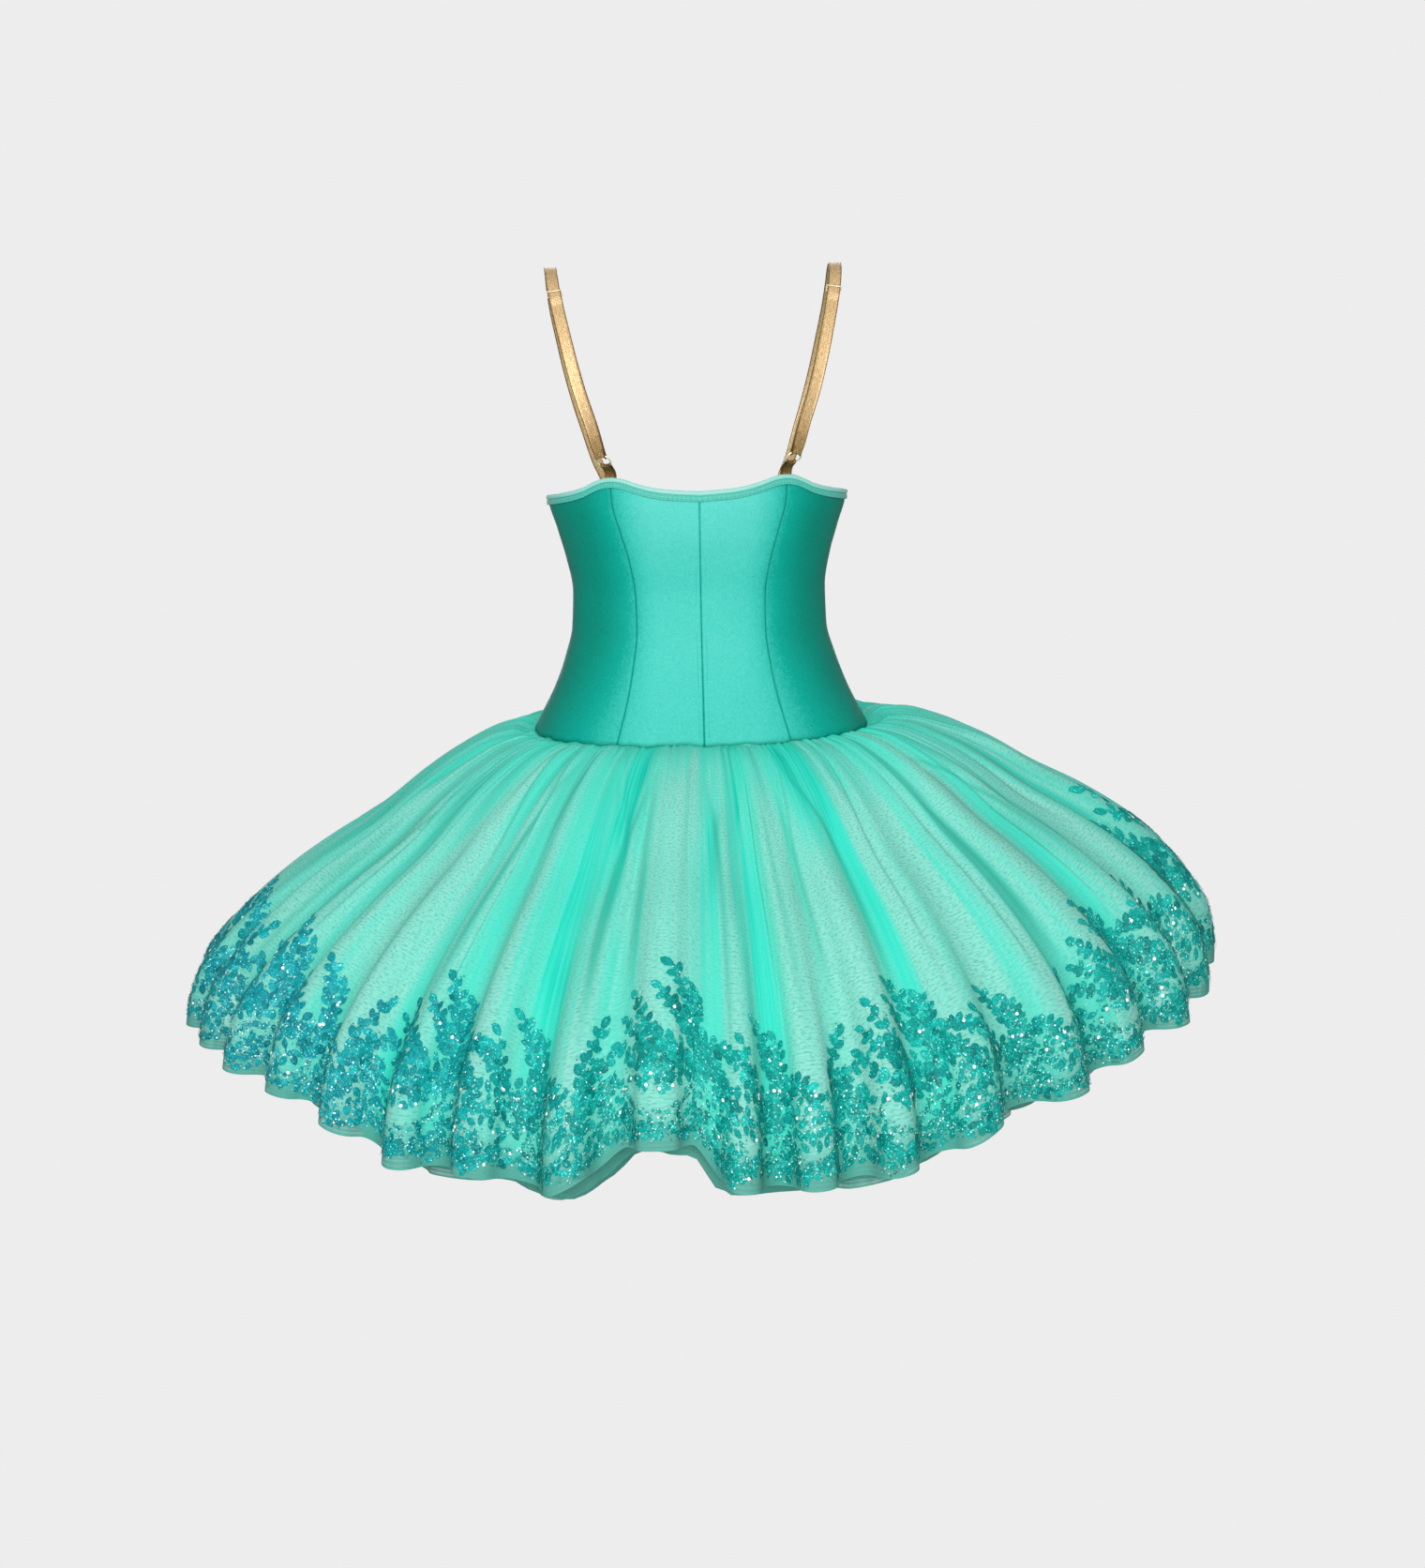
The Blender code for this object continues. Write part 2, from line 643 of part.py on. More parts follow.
def strap_path(ring, slider, length):
    """The strap, from its tail round the slider's middle bar, down and round the ring's upper wire, then up
    behind the slider and over the shoulder to its sewn end."""
    bar_turn = SLIDER_BAR / 2 * math.sqrt(2) + RING_CLEARANCE + STRAP_THICKNESS / 2
    path = [(slider - SLIDER_TAIL, SLIDER_OUT - bar_turn)]
    path += turn_round((slider, SLIDER_OUT), bar_turn, -90, 90)
    path += [
        (slider - STRAP_BELOW_SLIDER_OUTSIDE, SLIDER_OUT + bar_turn),
        (slider + STRAP_OUTER_LAYER.along, STRAP_OUTER_LAYER.out),
    ]
    wire = ring + RING_RADIUS
    closed = wire + STRAP_CLOSED_FROM_RING
    outer_start = slider + STRAP_OUTER_LAYER.along
    path += straight_run(outer_start, closed, STRAP_LAYER_OFFSET, STRAP_DOUBLED_SPANS)
    path += turn_round((wire, 0.0), RING_WIRE + RING_CLEARANCE + STRAP_THICKNESS / 2, 90, 270)
    path.append((closed, STRAP_INNER_LAYER.out))
    inner_end = slider + STRAP_INNER_LAYER.along
    path += straight_run(closed, inner_end, STRAP_INNER_LAYER.out, STRAP_DOUBLED_SPANS)
    path += [(slider + p.along, p.out) for p in STRAP_BEHIND_SLIDER]
    path += straight_run(path[-1][0], length - STRAP_END_MARGIN, 0.0, STRAP_SINGLE_SPANS)
    return path


def make_ring(name, route, ring, material):
    loops = []
    for i in range(RING_SIDES):
        a = 2 * math.pi * i / RING_SIDES
        loop = []
        for k in range(RING_WIRE_SIDES):
            b = 2 * math.pi * k / RING_WIRE_SIDES
            radius = RING_RADIUS + RING_WIRE * math.cos(b)
            loop.append(
                route.place(ring + radius * math.cos(a), radius * math.sin(a), RING_WIRE * math.sin(b))
            )
        loops.append(loop)
    make_hoop(name, loops, material)


def make_slider(name, route, slider, material):
    """A flat frame with two slots, side by side along the strap."""
    half, rail, bar, slot = SLIDER_WIDTH / 2, SLIDER_RAIL, SLIDER_BAR, SLIDER_SLOT
    across = (-half, -half + rail, half - rail, half)
    along = [-1.5 * bar - slot, -0.5 * bar - slot, -0.5 * bar, 0.5 * bar, 0.5 * bar + slot, 1.5 * bar + slot]
    rows, columns = len(along) - 1, len(across) - 1
    cells = {(i, j) for i in range(rows) for j in range(columns)} - SLIDER_EMPTY_CELLS
    bm = bmesh.new()
    verts = {}
    for i, a in enumerate(along):
        for j, w in enumerate(across):
            for face, out in enumerate((SLIDER_OUT - bar / 2, SLIDER_OUT + bar / 2)):
                verts[i, j, face] = bm.verts.new(route.place(slider + a, w, out))
    for i, j in cells:
        corners = ((i, j), (i + 1, j), (i + 1, j + 1), (i, j + 1))
        for face in (0, 1):
            bm.faces.new([verts[(*corner, face)] for corner in corners])
        sides = (((i, j - 1), 0, 1), ((i + 1, j), 1, 2), ((i, j + 1), 2, 3), ((i - 1, j), 3, 0))
        for beside, first, last in sides:
            if beside in cells:
                continue
            a, b = corners[first], corners[last]
            bm.faces.new((verts[(*a, 0)], verts[(*b, 0)], verts[(*b, 1)], verts[(*a, 1)]))
    make_object(name, bm, material)


def make_straps(cloth, metal):
    ring = STRAP_SEWN_LENGTH + RING_HEIGHT_ABOVE_EDGE
    slider = ring + SLIDER_FROM_RING
    for side, mirror in (("right", False), ("left", True)):
        route = StrapRoute(mirror)
        strap = strap_path(ring, slider, route.length)
        make_ribbon(f"strap_tab_{side}", route, tab_path(ring), TAB_WIDTH, cloth, ring, -1)
        make_ribbon(f"strap_{side}", route, strap, STRAP_WIDTH, cloth, ring, 1)
        make_ring(f"strap_ring_{side}", route, ring, metal)
        make_slider(f"strap_slider_{side}", route, slider, metal)


# Skirt. A share runs from 0 at the bodice seam to 1 at the overlay's hem.


def skirt_base(angle, share):
    """A point of the smooth bell that the folds stand on."""
    if share < 0:
        drop = SEAM_DROP - ALLOWANCE_RISE
        top = torso_point(angle, drop) - ALLOWANCE_DEPTH * torso_normal(angle, drop)
        return skirt_base(angle, 0.0).lerp(top, share / ALLOWANCE_SHARE)
    out = smooth_column(SKIRT_PROFILE, "share", "out", share)
    down = smooth_column(SKIRT_PROFILE, "share", "down", share)
    degrees = (math.degrees(angle) + 180) % 360 - 180
    profile_hem = SEAM_DROP + smooth_column(SKIRT_PROFILE, "share", "down", 1.0)
    down += (smooth_column(HEM, "degrees", "drop", degrees) - profile_hem) * share
    down += smooth_column(HEM, "degrees", "sag", degrees) * 4 * share * max(1 - share, 0.0)
    out -= smooth_column(HEM, "degrees", "inward", degrees) * share**HEM_INWARD_GROWTH
    seam = torso_point(angle, SEAM_DROP)
    depth = HEM_BACK_DEPTH if math.cos(angle) > 0 else HEM_FRONT_DEPTH
    hem = Vector((HEM_HALF_WIDTH * math.sin(angle), -depth * math.cos(angle), 0))
    reach = (hem.xy - seam.xy) / (HEM_HALF_WIDTH - BODICE_SECTIONS[-1].half_width)
    if out < 0:
        reach = reach.normalized()
    return Vector((seam.x + reach.x * out, seam.y + reach.y * out, -SEAM_DROP - down))


def skirt_normal(angle, share):
    step = SKIRT_NORMAL_STEP
    across = skirt_base(angle + step, share) - skirt_base(angle - step, share)
    down = skirt_base(angle, share + step) - skirt_base(angle, share - step)
    return down.cross(across).normalized()


def layer_ridges(layer):
    if layer.ridges:
        return layer.ridges
    turn = 360 / layer.folds
    found = []
    for i in range(layer.folds):
        stray = FOLD_STRAY * math.sin(FOLD_STRAY_STEP * i + layer.folds)
        unevenness = FOLD_UNEVENNESS * math.sin(FOLD_UNEVENNESS_STEP * i + layer.folds)
        found.append(FoldRidge(turn * (i + stray), layer.fold_height * (1 - FOLD_UNEVENNESS + unevenness)))
    return found


def fold_columns(layer):
    """(angle, phase, spacing, height) of each column. The phase is 0 on a ridge and 1 on the next."""
    ridges = list(layer_ridges(layer))
    ridges.append(FoldRidge(ridges[0].degrees + 360, ridges[0].height))
    found = []
    for first, second in zip(ridges, ridges[1:]):
        spacing = second.degrees - first.degrees
        for k in range(layer.fold_columns):
            phase = k / layer.fold_columns
            height = first.height + (second.height - first.height) * ease(phase)
            found.append(
                (math.radians(first.degrees + spacing * phase), phase, math.radians(spacing), height)
            )
    return found


def gather_swell(share):
    rise = ease(share / GATHER_FULL_SHARE) * (1 - ease((share - GATHER_FADE_SHARE) / GATHER_FADE_LENGTH))
    return max(rise, GATHER_LEAST * ease(share / GATHER_LEAST_SHARE))


def layer_point(layer, column, share, gather_phase):
    angle, phase, spacing, height = column
    reach = max(share, 0.0)
    strength = reach**FOLD_GROWTH
    lean = FOLD_OVERHANG * strength * spacing / (4 * math.pi) * math.sin(4 * math.pi * phase)
    depth = layer.seam_depth + (layer.hem_depth - layer.seam_depth) * reach**DEPTH_GROWTH
    gather = layer.gather_height * gather_swell(share) * math.sin(gather_phase)
    rise = height * strength * math.cos(2 * math.pi * phase) + gather - depth
    leaned = angle + lean
    return skirt_base(leaned, share) + rise * skirt_normal(leaned, share)


def thicken(grid, thickness):
    """The inner face of a wall behind a grid that runs all round, as thick at its creases as elsewhere."""
    rows, columns = len(grid), len(grid[0])
    facing = []
    for i in range(rows - 1):
        row = []
        for j in range(columns):
            k = (j + 1) % columns
            row.append((grid[i + 1][j] - grid[i][k]).cross(grid[i + 1][k] - grid[i][j]).normalized())
        facing.append(row)
    inner = []
    for i in range(rows):
        row = []
        for j in range(columns):
            around = [facing[m][n] for m in (i - 1, i) if 0 <= m < rows - 1 for n in (j - 1, j)]
            normal = sum(around, Vector()).normalized()
            mitre = min(1 / min(normal.dot(face) for face in around), MITRE_LIMIT)
            row.append(grid[i][j] - normal * thickness * mitre)
        inner.append(row)
    return inner


def make_skirt_layer(layer, material):
    columns = fold_columns(layer)
    gather_step = 2 * math.pi * round(len(columns) / layer.gather_columns) / len(columns)
    outer = []
    for share in layer.shares:
        reach = share * layer.hem_share if share > 0 else share
        outer.append([layer_point(layer, column, reach, gather_step * j) for j, column in enumerate(columns)])
    make_wall(layer.name, outer, thicken(outer, TULLE_WALL), material, closed=True)


def main():
    clear_scene()
    bodice_cloth = make_material("teal_stretch_satin", TEAL, roughness=0.38)
    for panel in PANELS:
        make_panel(panel, bodice_cloth)
    make_binding(make_material("pale_teal_binding", PALE_TEAL, roughness=0.5))
    strap_cloth = make_material("gold_elastic", GOLD_CLOTH, roughness=0.4, metallic=0.5)
    make_straps(strap_cloth, make_material("gold_metal", GOLD_METAL, roughness=0.2, metallic=1.0))
    for layer in LAYERS:
        make_skirt_layer(layer, make_material(f"{layer.name}_tulle", layer.colour, roughness=0.8))


main()
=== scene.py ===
# Ballet tutu: the looks of its satin bodice, gold straps and gathered tulle skirt with a sequinned
# lace border. Metres, +Z up, +Y towards the wearer's front. Angles run from the centre back, positive
# towards +X, and a drop is measured down from the shoulders.
import math
from collections import namedtuple

import bmesh
import bpy
import numpy as np
from mathutils import Matrix, Vector


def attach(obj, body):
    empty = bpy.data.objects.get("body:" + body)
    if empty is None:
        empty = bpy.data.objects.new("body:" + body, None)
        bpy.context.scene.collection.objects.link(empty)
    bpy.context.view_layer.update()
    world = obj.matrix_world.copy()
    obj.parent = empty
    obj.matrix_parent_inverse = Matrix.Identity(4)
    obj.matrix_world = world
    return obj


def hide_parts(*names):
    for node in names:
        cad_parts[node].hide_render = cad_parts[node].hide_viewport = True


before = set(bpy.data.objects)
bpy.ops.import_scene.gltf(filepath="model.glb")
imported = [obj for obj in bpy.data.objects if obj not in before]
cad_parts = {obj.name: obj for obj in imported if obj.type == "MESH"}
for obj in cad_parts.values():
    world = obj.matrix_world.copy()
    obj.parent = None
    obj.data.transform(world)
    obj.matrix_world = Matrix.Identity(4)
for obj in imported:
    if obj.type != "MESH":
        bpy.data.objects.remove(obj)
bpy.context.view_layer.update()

SEED = 7
TURN = 2 * math.pi


def table(row_type, rows):
    """A short table's rows, with the names of its columns."""
    return tuple(row_type(*row) for row in rows)


# The bodice, as its solids have it
BODICE_WALL = 0.0012
TORSO_SQUARENESS = 2.25
SEAM_DROP = 0.462
SIDE_SEAM_ANGLE = math.radians(97)
PANEL_FITTING_ROUNDS = 6
SEAM_GAP = 0.00003  # the cloth meets at its seams, closer than its solids

Section = namedtuple("Section", "drop half_width back_depth front_depth princess_share")
BODICE_SECTIONS = table(Section, (
    (0.15, 0.146, 0.09, 0.112, 0.595), (0.19, 0.149, 0.095, 0.115, 0.585),
    (0.225, 0.15, 0.099, 0.118, 0.568), (0.257, 0.1413, 0.095, 0.117, 0.545),
    (0.286, 0.1335, 0.089, 0.109, 0.518), (0.32, 0.128, 0.085, 0.099, 0.5),
    (0.357, 0.1295, 0.088, 0.0945, 0.494), (0.386, 0.137, 0.096, 0.096, 0.494),
    (0.416, 0.148, 0.106, 0.1, 0.497), (0.462, 0.171, 0.119, 0.107, 0.503),
))
EdgePoint = namedtuple("EdgePoint", "degrees drop")
TOP_EDGE = table(EdgePoint, (
    (0, 0.2179), (11, 0.2155), (17.5, 0.2125), (22.5, 0.209), (27.5, 0.2053), (32, 0.204), (36, 0.205),
    (41, 0.2088), (47, 0.2142), (57, 0.219), (70, 0.2225), (85, 0.2255), (97, 0.2275), (112, 0.2355),
    (124, 0.2365), (135, 0.23), (144, 0.2265), (152, 0.229), (165, 0.2375), (180, 0.241),
))
Panel = namedtuple("Panel", "name first_seam last_seam columns")
PANELS = table(Panel, (
    ("bodice_back_centre_right", "centre_back", "right_princess", 30),
    ("bodice_back_side_right", "right_princess", "right_side", 44),
    ("bodice_front", "right_side", "left_side", 96),
    ("bodice_back_side_left", "left_side", "left_princess", 44),
    ("bodice_back_centre_left", "left_princess", "centre_back_again", 30),
))
SEAMS = {  # how many whole turns, side seam angles and princess seam angles each seam's angle adds up
    "centre_back": (0, 0, 0),
    "right_princess": (0, 0, 1),
    "right_side": (0, 1, 0),
    "left_side": (1, -1, 0),
    "left_princess": (1, 0, -1),
    "centre_back_again": (1, 0, 0),
}
PANEL_ROWS = 64
PANEL_EDGE_STEP = 0.012  # the share of a panel's width between the columns beside its seams
SEAM_ROLL = 0.0016  # from a seam to where its panel lies flat
SEAM_DIP = 0.0005
SIDE_SHADE_TONE = 0.03  # the satin's painted tone at the sides, where it is painted in shade, from 0 for the darkest to 1
# Painted light on the satin: painted shade along the seams, a painted sheen in the middle that is lighter
# higher up, and painted shade low down
SEAM_SHADE = 0.36
SEAM_SHADE_WIDTH = 0.0009
MIDDLE_SHEEN_TONE = 0.78
HIGH_SHEEN_RISE = 0.16
LOW_SHADE_FALL = 0.05
PANEL_THINNING = 0.0002
PULL_HEIGHT = 0.0004
Wave = namedtuple("Wave", "height turns start")
LOWER_EDGE_WAVES = table(Wave, ((0.0008, 19, 1.0), (0.0006, 43, 2.0)))

# The binding's cross section, a roll over the edge, a groove and a flap with two stitch lines. Each point's
# tone is painted light and shade: lightest on the roll, mid on the flap, darkest in the grooves and under the
# flap's lower edge
BindingPoint = namedtuple("BindingPoint", "out_from_cloth up_from_edge tone")
BINDING_SECTION = table(BindingPoint, (
    (0.0005, -0.0069, 0.1), (0.00095, -0.00715, 0.1), (0.0014, -0.007, 0.4), (0.00162, -0.0065, 0.4),
    (0.00128, -0.0059, 0.25), (0.00165, -0.0053, 0.4), (0.00182, -0.0045, 0.4), (0.00168, -0.0038, 0.4),
    (0.00128, -0.00335, 0.25), (0.00162, -0.00275, 0.4), (0.0015, -0.00225, 0.4), (0.00072, -0.00165, 0.05),
    (0.0016, -0.00095, 1), (0.00215, 0.0002, 1), (0.00205, 0.0015, 1), (0.0014, 0.00255, 1),
    (0.0003, 0.0031, 1), (-0.0008, 0.0029, 1), (-0.0015, 0.002, 1), (-0.00165, 0.0011, 1),
    (-0.0014, 0.00045, 1), (0.0004, 0.00035, 1),
))
BINDING_STEPS = 420
BINDING_STITCH_LINES = (-0.00335, -0.00590)
BINDING_STITCH_OUT = 0.0014
STITCHES_FROM_DROP = 0.236
STITCHES_END_ABOVE_SEAM = 0.006
STITCH_FROM_SEAM = 0.0021
STITCH_SINK = 0.00012
STITCH_LENGTH = 0.0024
STITCH_STEP = 0.0034
STITCH_RADIUS = 0.00024

# The straps, as their solids have them
STRAP_WIDTH = 0.0125
TAB_WIDTH = 0.0115
STRAP_THICKNESS = 0.0010
STRAP_BACK_DEGREES = 33
STRAP_FRONT_DEGREES = 144
STRAP_SEWN_LENGTH = 0.012
STRAP_END_HEIGHTS = (-STRAP_SEWN_LENGTH, -0.004, 0.0055)
STRAP_END_MARGIN = 0.0005
STRAP_BACK_INSET = 0.0038
STRAP_FRONT_INSET = 0.0033
STRAP_LAYER_OFFSET = 0.0008
ROUTE_SAMPLES_PER_SPAN = 24
ROUTE_DIRECTION_SAMPLES = 4
RING_RADIUS = 0.0075
RING_WIRE = 0.0008
RING_CLEARANCE = 0.0005
RING_HEIGHT_ABOVE_EDGE = 0.0255
RING_NARROWING = 0.0009
RING_FADE = 0.012
RING_SHADE_FROM = 0.012
RING_SHADE_FADE = 0.035
ELASTIC_COLUMNS = (-1, -0.93, -0.86, -0.78, -0.5, -0.2, 0.2, 0.5, 0.78, 0.86, 0.93, 1)
CORD_FROM = 0.8  # the share of the half width where the raised cord begins
CORD_HEIGHT = 0.00012
CORD_SHADE = 0.34
WEAVE_DIP = 0.00006
ELASTIC_EDGE_DIP = 0.0003
TAB_CLOSED_FROM_RING = 0.006
STRAP_CLOSED_FROM_RING = 0.009
SLIDER_FROM_RING = 0.176
SLIDER_WIDTH = 0.0152
SLIDER_RAIL = 0.0011
SLIDER_BAR = 0.0012
SLIDER_SLOT = 0.0024
SLIDER_OUT = 0.0019
SLIDER_ROUNDING = 0.00035
SLIDER_TAIL = 0.004
STRAP_BELOW_SLIDER_OUTSIDE = 0.0055
StrapPoint = namedtuple("StrapPoint", "along out")
STRAP_OUTER_LAYER = StrapPoint(-0.014, 0.0012)
STRAP_INNER_LAYER = StrapPoint(-0.012, -0.0009)
STRAP_BEHIND_SLIDER = table(StrapPoint, ((-0.005, -0.0012), (0.006, -0.0012), (0.018, 0)))
RoutePoint = namedtuple("RoutePoint", "x y z yaw")
STRAP_ROUTE = table(RoutePoint, (
    (0.0939, -0.093, -0.1815, 22), (0.1031, -0.0962, -0.15, 17), (0.1128, -0.0935, -0.12, 13),
    (0.1209, -0.086, -0.09, 9), (0.1274, -0.0755, -0.063, 6), (0.1328, -0.063, -0.04, 4),
    (0.1373, -0.045, -0.019, 2), (0.1399, -0.023, -0.0045, 0), (0.1409, 0, 0.0005, 0),
    (0.1414, 0.024, -0.0045, 0), (0.141, 0.046, -0.02, -2), (0.1385, 0.065, -0.044, -4),
    (0.1336, 0.079, -0.072, -7), (0.1277, 0.089, -0.102, -11), (0.12, 0.096, -0.134, -16),
    (0.1107, 0.0998, -0.166, -22), (0.101, 0.1, -0.198, -29),
))

# The skirt, as its solids have it
ALLOWANCE_SHARE = -0.015
ALLOWANCE_RISE = 0.006
ALLOWANCE_DEPTH = 0.0022
HEM_HALF_WIDTH = 0.521
HEM_BACK_DEPTH = 0.472
HEM_FRONT_DEPTH = 0.470
HEM_INWARD_GROWTH = 6
ProfilePoint = namedtuple("ProfilePoint", "share out down")
SKIRT_PROFILE = table(ProfilePoint, (
    (0, -0.0012, 0.002), (0.02, 0.0075, 0.0026), (0.05, 0.022, -0.004), (0.09, 0.043, -0.001),
    (0.17, 0.082, 0.015), (0.27, 0.122, 0.039), (0.4, 0.172, 0.077), (0.52, 0.222, 0.11),
    (0.65, 0.272, 0.15), (0.78, 0.316, 0.196), (0.88, 0.341, 0.235), (1, 0.354, 0.292),
    (1.08, 0.357, 0.332),
))
HemPoint = namedtuple("HemPoint", "degrees drop sag inward")
HEM = table(HemPoint, (
    (-180, 0.74, 0, 0), (-120, 0.748, 0.01, 0), (-90, 0.745, 0.018, 0.005), (-70, 0.738, 0.018, 0.005),
    (-50, 0.744, 0.012, 0), (-40, 0.764, 0.006, 0), (-33, 0.784, 0, 0), (-25, 0.782, 0, 0),
    (-17, 0.792, 0, 0), (-13, 0.776, 0, 0), (-9, 0.75, 0, 0), (-3, 0.748, 0, 0), (1, 0.786, 0, 0),
    (8, 0.79, 0, 0), (16, 0.784, 0, 0), (23, 0.772, 0, 0), (31, 0.746, 0, 0), (38, 0.74, 0, 0),
    (50, 0.72, -0.001, 0.004), (62, 0.712, -0.003, 0.009), (80, 0.702, -0.006, 0.017),
    (95, 0.702, -0.006, 0.017), (120, 0.716, 0, 0.008), (150, 0.732, 0, 0), (180, 0.74, 0, 0),
))
FoldRidge = namedtuple("FoldRidge", "degrees height")
OVERLAY_RIDGES = table(FoldRidge, (
    (-174, 0.014), (-161, 0.017), (-148, 0.013), (-135, 0.018), (-123, 0.015), (-112, 0.013),
    (-101, 0.017), (-90, 0.014), (-79, 0.017), (-69, 0.015), (-59, 0.018), (-50, 0.013), (-41, 0.015),
    (-33, 0.019), (-25, 0.013), (-15, 0.021), (-6, 0.01), (2, 0.021), (9, 0.015), (17, 0.017),
    (26, 0.014), (37, 0.018), (47, 0.013), (57, 0.018), (68, 0.015), (80, 0.017), (93, 0.014),
    (106, 0.017), (119, 0.013), (132, 0.017), (145, 0.014), (158, 0.017), (171, 0.013),
))
Layer = namedtuple(
    "Layer",
    "name slot ridges folds fold_height gathers gather_height seam_depth hem_depth hem_share columns rows"
    " cut_width cut_length detail",
)
OVERLAY, MIDDLE, BOTTOM = table(Layer, (
    ("skirt_overlay", "overlay_tulle", OVERLAY_RIDGES, 33, None, 41, 0.0028, 0, 0, 1, 40, 70, 3.6, 0.42, 1),
    ("skirt_middle", "middle_tulle", None, 24, 0.011, 24, 0.0016, 0.002, 0.038, 1.03, 18, 40, 3.0, 0.43, 0.8),
    ("skirt_bottom", "bottom_tulle", None, 18, 0.01, 18, 0.0012, 0.004, 0.064, 1.045, 18, 36, 2.8, 0.42, 0.8),
))
FOLD_OVERHANG = 0.62
FOLD_GROWTH = 1.5
DEPTH_GROWTH = 0.7
FOLD_STRAY = 0.16
FOLD_STRAY_STEP = 2.4
FOLD_UNEVENNESS = 0.14
FOLD_UNEVENNESS_STEP = 1.7
GATHER_FULL_SHARE = 0.12
GATHER_FADE_SHARE = 0.15
GATHER_FADE_LENGTH = 0.55
GATHER_LEAST = 0.1
GATHER_LEAST_SHARE = 0.04
WAIST_RADIUS = 0.16
HEM_RADIUS = 0.50

# Uneven waves round the skirt, each mixed from so many waves of low to high turns
Ripple = namedtuple("Ripple", "low high waves height")
TUCKS = Ripple(110, 250, 9, 0.0014)
SOFT_FOLDS = Ripple(34, 88, 9, 0.0016)
SOFT_UNEVENNESS = Ripple(3, 9, 4, 0.4)
BROAD_FOLDS = Ripple(12, 29, 6, 0.0022)
SLACKNESS = Ripple(4, 15, 5, 0.4)
DENSITY = Ripple(12, 40, 7, 0.12)


# Shapes


def ease(value):
    """0 to 1 with level ends."""
    value = np.clip(value, 0.0, 1.0)
    return value * value * (3 - 2 * value)


def mix(a, b, share):
    return a + (b - a) * share


def hermite(t):
    """The shares of a span's first point, first tangent, last point and last tangent."""
    return 2 * t**3 - 3 * t**2 + 1, t**3 - 2 * t**2 + t, 3 * t**2 - 2 * t**3, t**3 - t**2


def smooth_column(rows, column, at):
    """Values of a table's column at places along its first column, on a curve that never overshoots."""
    keys = np.array([row[0] for row in rows], float)
    values = np.array([getattr(row, column) for row in rows], float)
    at = np.clip(at, keys[0], keys[-1])
    slopes = np.diff(values) / np.diff(keys)
    before, after = slopes[:-1], slopes[1:]
    agree = before * after > 0
    inner = np.where(agree, 2 * before * after / np.where(agree, before + after, 1.0), 0.0)
    tangents = np.concatenate([slopes[:1], inner, slopes[-1:]])
    i = np.clip(np.searchsorted(keys, at, side="right") - 1, 0, len(keys) - 2)
    width = keys[i + 1] - keys[i]
    a, b, c, d = hermite((at - keys[i]) / width)
    return a * values[i] + b * width * tangents[i] + c * values[i + 1] + d * width * tangents[i + 1]


def step_lengths(points, axis=0):
    return np.linalg.norm(np.diff(points, axis=axis), axis=-1)


def distances(steps):
    """How far along each point lies, from the steps between them."""
    return np.concatenate([[0.0], np.cumsum(steps)])


def unit(vectors):
    return vectors / np.maximum(np.linalg.norm(vectors, axis=-1, keepdims=True), 1e-12)


def torso(angle, drop):
    """Points of the worn bodice's surface."""
    angle, drop = np.broadcast_arrays(np.asarray(angle, float), np.asarray(drop, float))
    half_width = smooth_column(BODICE_SECTIONS, "half_width", drop)
    back = smooth_column(BODICE_SECTIONS, "back_depth", drop)
    front = smooth_column(BODICE_SECTIONS, "front_depth", drop)
    depth = np.where(np.cos(angle) > 0, back, front)
    sine, cosine = (np.sign(v) * np.abs(v) ** (2 / TORSO_SQUARENESS) for v in (np.sin(angle), np.cos(angle)))
    return np.stack([half_width * sine, -depth * cosine, -drop], -1)


def torso_up(angle, drop):
    return torso(angle, drop - 0.002) - torso(angle, drop + 0.002)


def torso_normal(angle, drop):
    across = torso(angle + 0.002, drop) - torso(angle - 0.002, drop)
    return unit(np.cross(across, torso_up(angle, drop)))


def top_edge_drop(angle):
    degrees = np.degrees(angle) % 360
    return smooth_column(TOP_EDGE, "drop", np.minimum(degrees, 360 - degrees))


def seam_angle(seam, drop):
    turns, sides, princesses = SEAMS[seam]
    share = smooth_column(BODICE_SECTIONS, "princess_share", drop)
    princess = np.arcsin(share ** (TORSO_SQUARENESS / 2))
    return turns * TURN + sides * SIDE_SEAM_ANGLE + princesses * princess


def panel_places(panel, down, across):
    """(angle, drop) of places on a panel, by their shares of the way down and across."""
    drop = np.full(np.broadcast(down, across).shape, SEAM_DROP)
    for _ in range(PANEL_FITTING_ROUNDS):
        start, end = (seam_angle(seam, drop) for seam in (panel.first_seam, panel.last_seam))
        inset = SEAM_GAP / 2 / np.linalg.norm(torso(start, drop)[..., :2], axis=-1)
        angle = start + inset + (end - start - 2 * inset) * across
        top = top_edge_drop(angle)
        drop = top + (SEAM_DROP - top) * down
    return angle, drop


